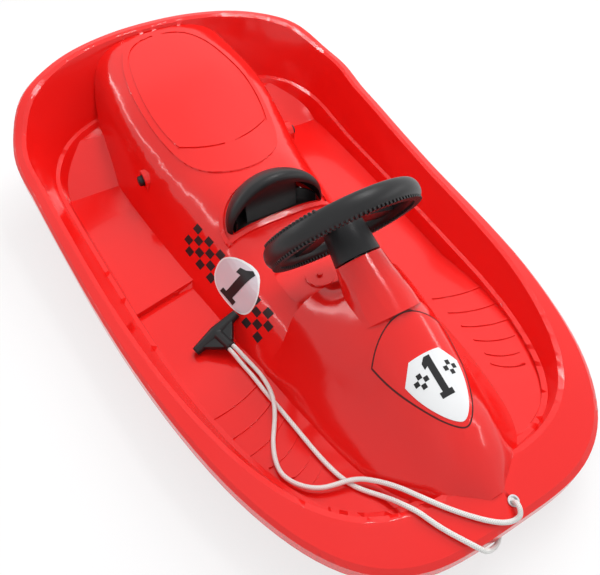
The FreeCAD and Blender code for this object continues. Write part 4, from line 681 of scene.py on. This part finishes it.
bar_frame = (Matrix.Translation(bar_place) @ Matrix.Rotation(BAR_TURN, 4, "Z")
             @ Matrix.Rotation(BAR_LEAN, 4, "Y"))
bmesh.ops.transform(web, verts=web.verts[:], matrix=bar_frame)
place_piece("tow_handle_web", web, "hull", black_plastic)

# Tow cord: one loop of thin white braided cord. It leaves the handle's stem, lies in the right foot well,
# goes over the front deck, down through the eyelet, and comes back round the skirt to the handle.
CORD_DIAMETER = 5.5 * MM
CORD_ROUTE = [
    (104.3, -138.8, 37.2), (113, -136.6, 36.8), (123, -133.8, 33.4), (135, -131.2, 31.6), (149, -129.6, 34),
    (164, -129, 38.2), (180, -130.4, 43.6), (194, -132.6, 49.4), (206, -135.2, 52.8), (219, -139.4, 53.6),
    (233, -146.4, 52.2), (247, -155.6, 51.4), (262, -165, 52.6), (280, -173, 54.2), (299, -176.4, 56),
    (315, -171.5, 58.4), (328, -162, 60), (338, -149.5, 61.4), (343, -135, 62.8), (346.5, -119.5, 64),
    (352.5, -106, 64.4), (362.5, -95.8, 67), (374, -87.4, 72), (387.5, -79.6, 76.6), (400.5, -74, 82.2),
    (413.5, -67.4, 85.6), (425.5, -57.5, 82.8), (437, -47, 79.8), (448, -36.2, 77.7), (458.5, -25, 75.9),
    (467, -12.6, 73.6), (470.6, -0.8, 71), (471, 7, 77.5), (460, 10.2, 82.5), (454.8, 12, 69),
    (455.6, 8, 57.5), (461, -0.5, 47.5), (468.5, -9.5, 42), (475.5, -19, 43), (477.6, -30.5, 50.5),
    (478, -42.8, 63.2), (471.2, -51.6, 73), (458, -61, 76.6), (444, -69.8, 78.6), (431, -77, 81.4),
    (418, -83.4, 85.4), (403.5, -89.6, 80.4), (390, -93, 69.8), (377.5, -99.4, 63.4), (365.5, -108.4, 60.6),
    (352, -117, 58.4), (334, -123.4, 56.8), (312, -127.8, 55.8), (288, -130.4, 54), (264, -132.2, 52),
    (239, -134, 49.4), (213, -136, 46.2), (190, -138, 43.2), (170, -138.6, 39.6), (152, -139, 35),
    (137, -140.2, 31.6), (125, -141.4, 31), (114.5, -143.2, 34.4), (105.7, -145, 35.3)]
cord_line = bpy.data.curves.new("tow_cord_braid", "CURVE")
cord_line.dimensions = "3D"
cord_line.bevel_depth = CORD_DIAMETER / 2
cord_line.bevel_resolution = 4
cord_line.resolution_u = 6
run = cord_line.splines.new("NURBS")
run.points.add(len(CORD_ROUTE) - 1)
for spot, (x, y, z) in zip(run.points, CORD_ROUTE):
    spot.co = (x * MM, y * MM, z * MM, 1)
run.order_u = 3
run.use_endpoint_u = True
BRAID_ROUGHNESS = 0.75
BRAID_TURNS = 250
BRAID_STARTS = 3
BRAID_HEIGHT = 0.6 * MM
BRAID_STRENGTH = 0.6
YARN_VALLEY_SHADE = (0.55, 0.55, 0.53, 1)
YARN_BRIGHT = (0.84, 0.84, 0.82, 1)
braid, nodes, links = new_material("white_braid")
shader = nodes["Principled BSDF"]
shader.inputs["Roughness"].default_value = BRAID_ROUGHNESS
where = nodes.new("ShaderNodeTexCoord")
strands = []
for lean in (1, -1):
    spread = nodes.new("ShaderNodeMapping")
    spread.inputs["Scale"].default_value = (BRAID_TURNS, lean * BRAID_STARTS, 1)
    links.new(where.outputs["UV"], spread.inputs["Vector"])
    wave = nodes.new("ShaderNodeTexWave")
    wave.bands_direction = "DIAGONAL"
    wave.inputs["Scale"].default_value = 1
    links.new(spread.outputs["Vector"], wave.inputs["Vector"])
    strands.append(wave)
plait = nodes.new("ShaderNodeMath")
plait.operation = "MAXIMUM"
links.new(strands[0].outputs["Fac"], plait.inputs[0])
links.new(strands[1].outputs["Fac"], plait.inputs[1])
# Painted shade: the white yarn is drawn darker in the valleys between the strands.
yarn_and_valley_shade = nodes.new("ShaderNodeMixRGB")
yarn_and_valley_shade.inputs["Color1"].default_value = YARN_VALLEY_SHADE
yarn_and_valley_shade.inputs["Color2"].default_value = YARN_BRIGHT
links.new(plait.outputs[0], yarn_and_valley_shade.inputs["Fac"])
links.new(yarn_and_valley_shade.outputs["Color"], shader.inputs["Base Color"])
lay = nodes.new("ShaderNodeBump")
lay.inputs["Strength"].default_value = BRAID_STRENGTH
lay.inputs["Distance"].default_value = BRAID_HEIGHT
links.new(plait.outputs[0], lay.inputs["Height"])
links.new(lay.outputs["Normal"], shader.inputs["Normal"])
cord_line.materials.append(braid)
cord = bpy.data.objects.new("tow_cord_braid", cord_line)
bpy.context.collection.objects.link(cord)
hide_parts("tow_cord")
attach(cord, "hull")
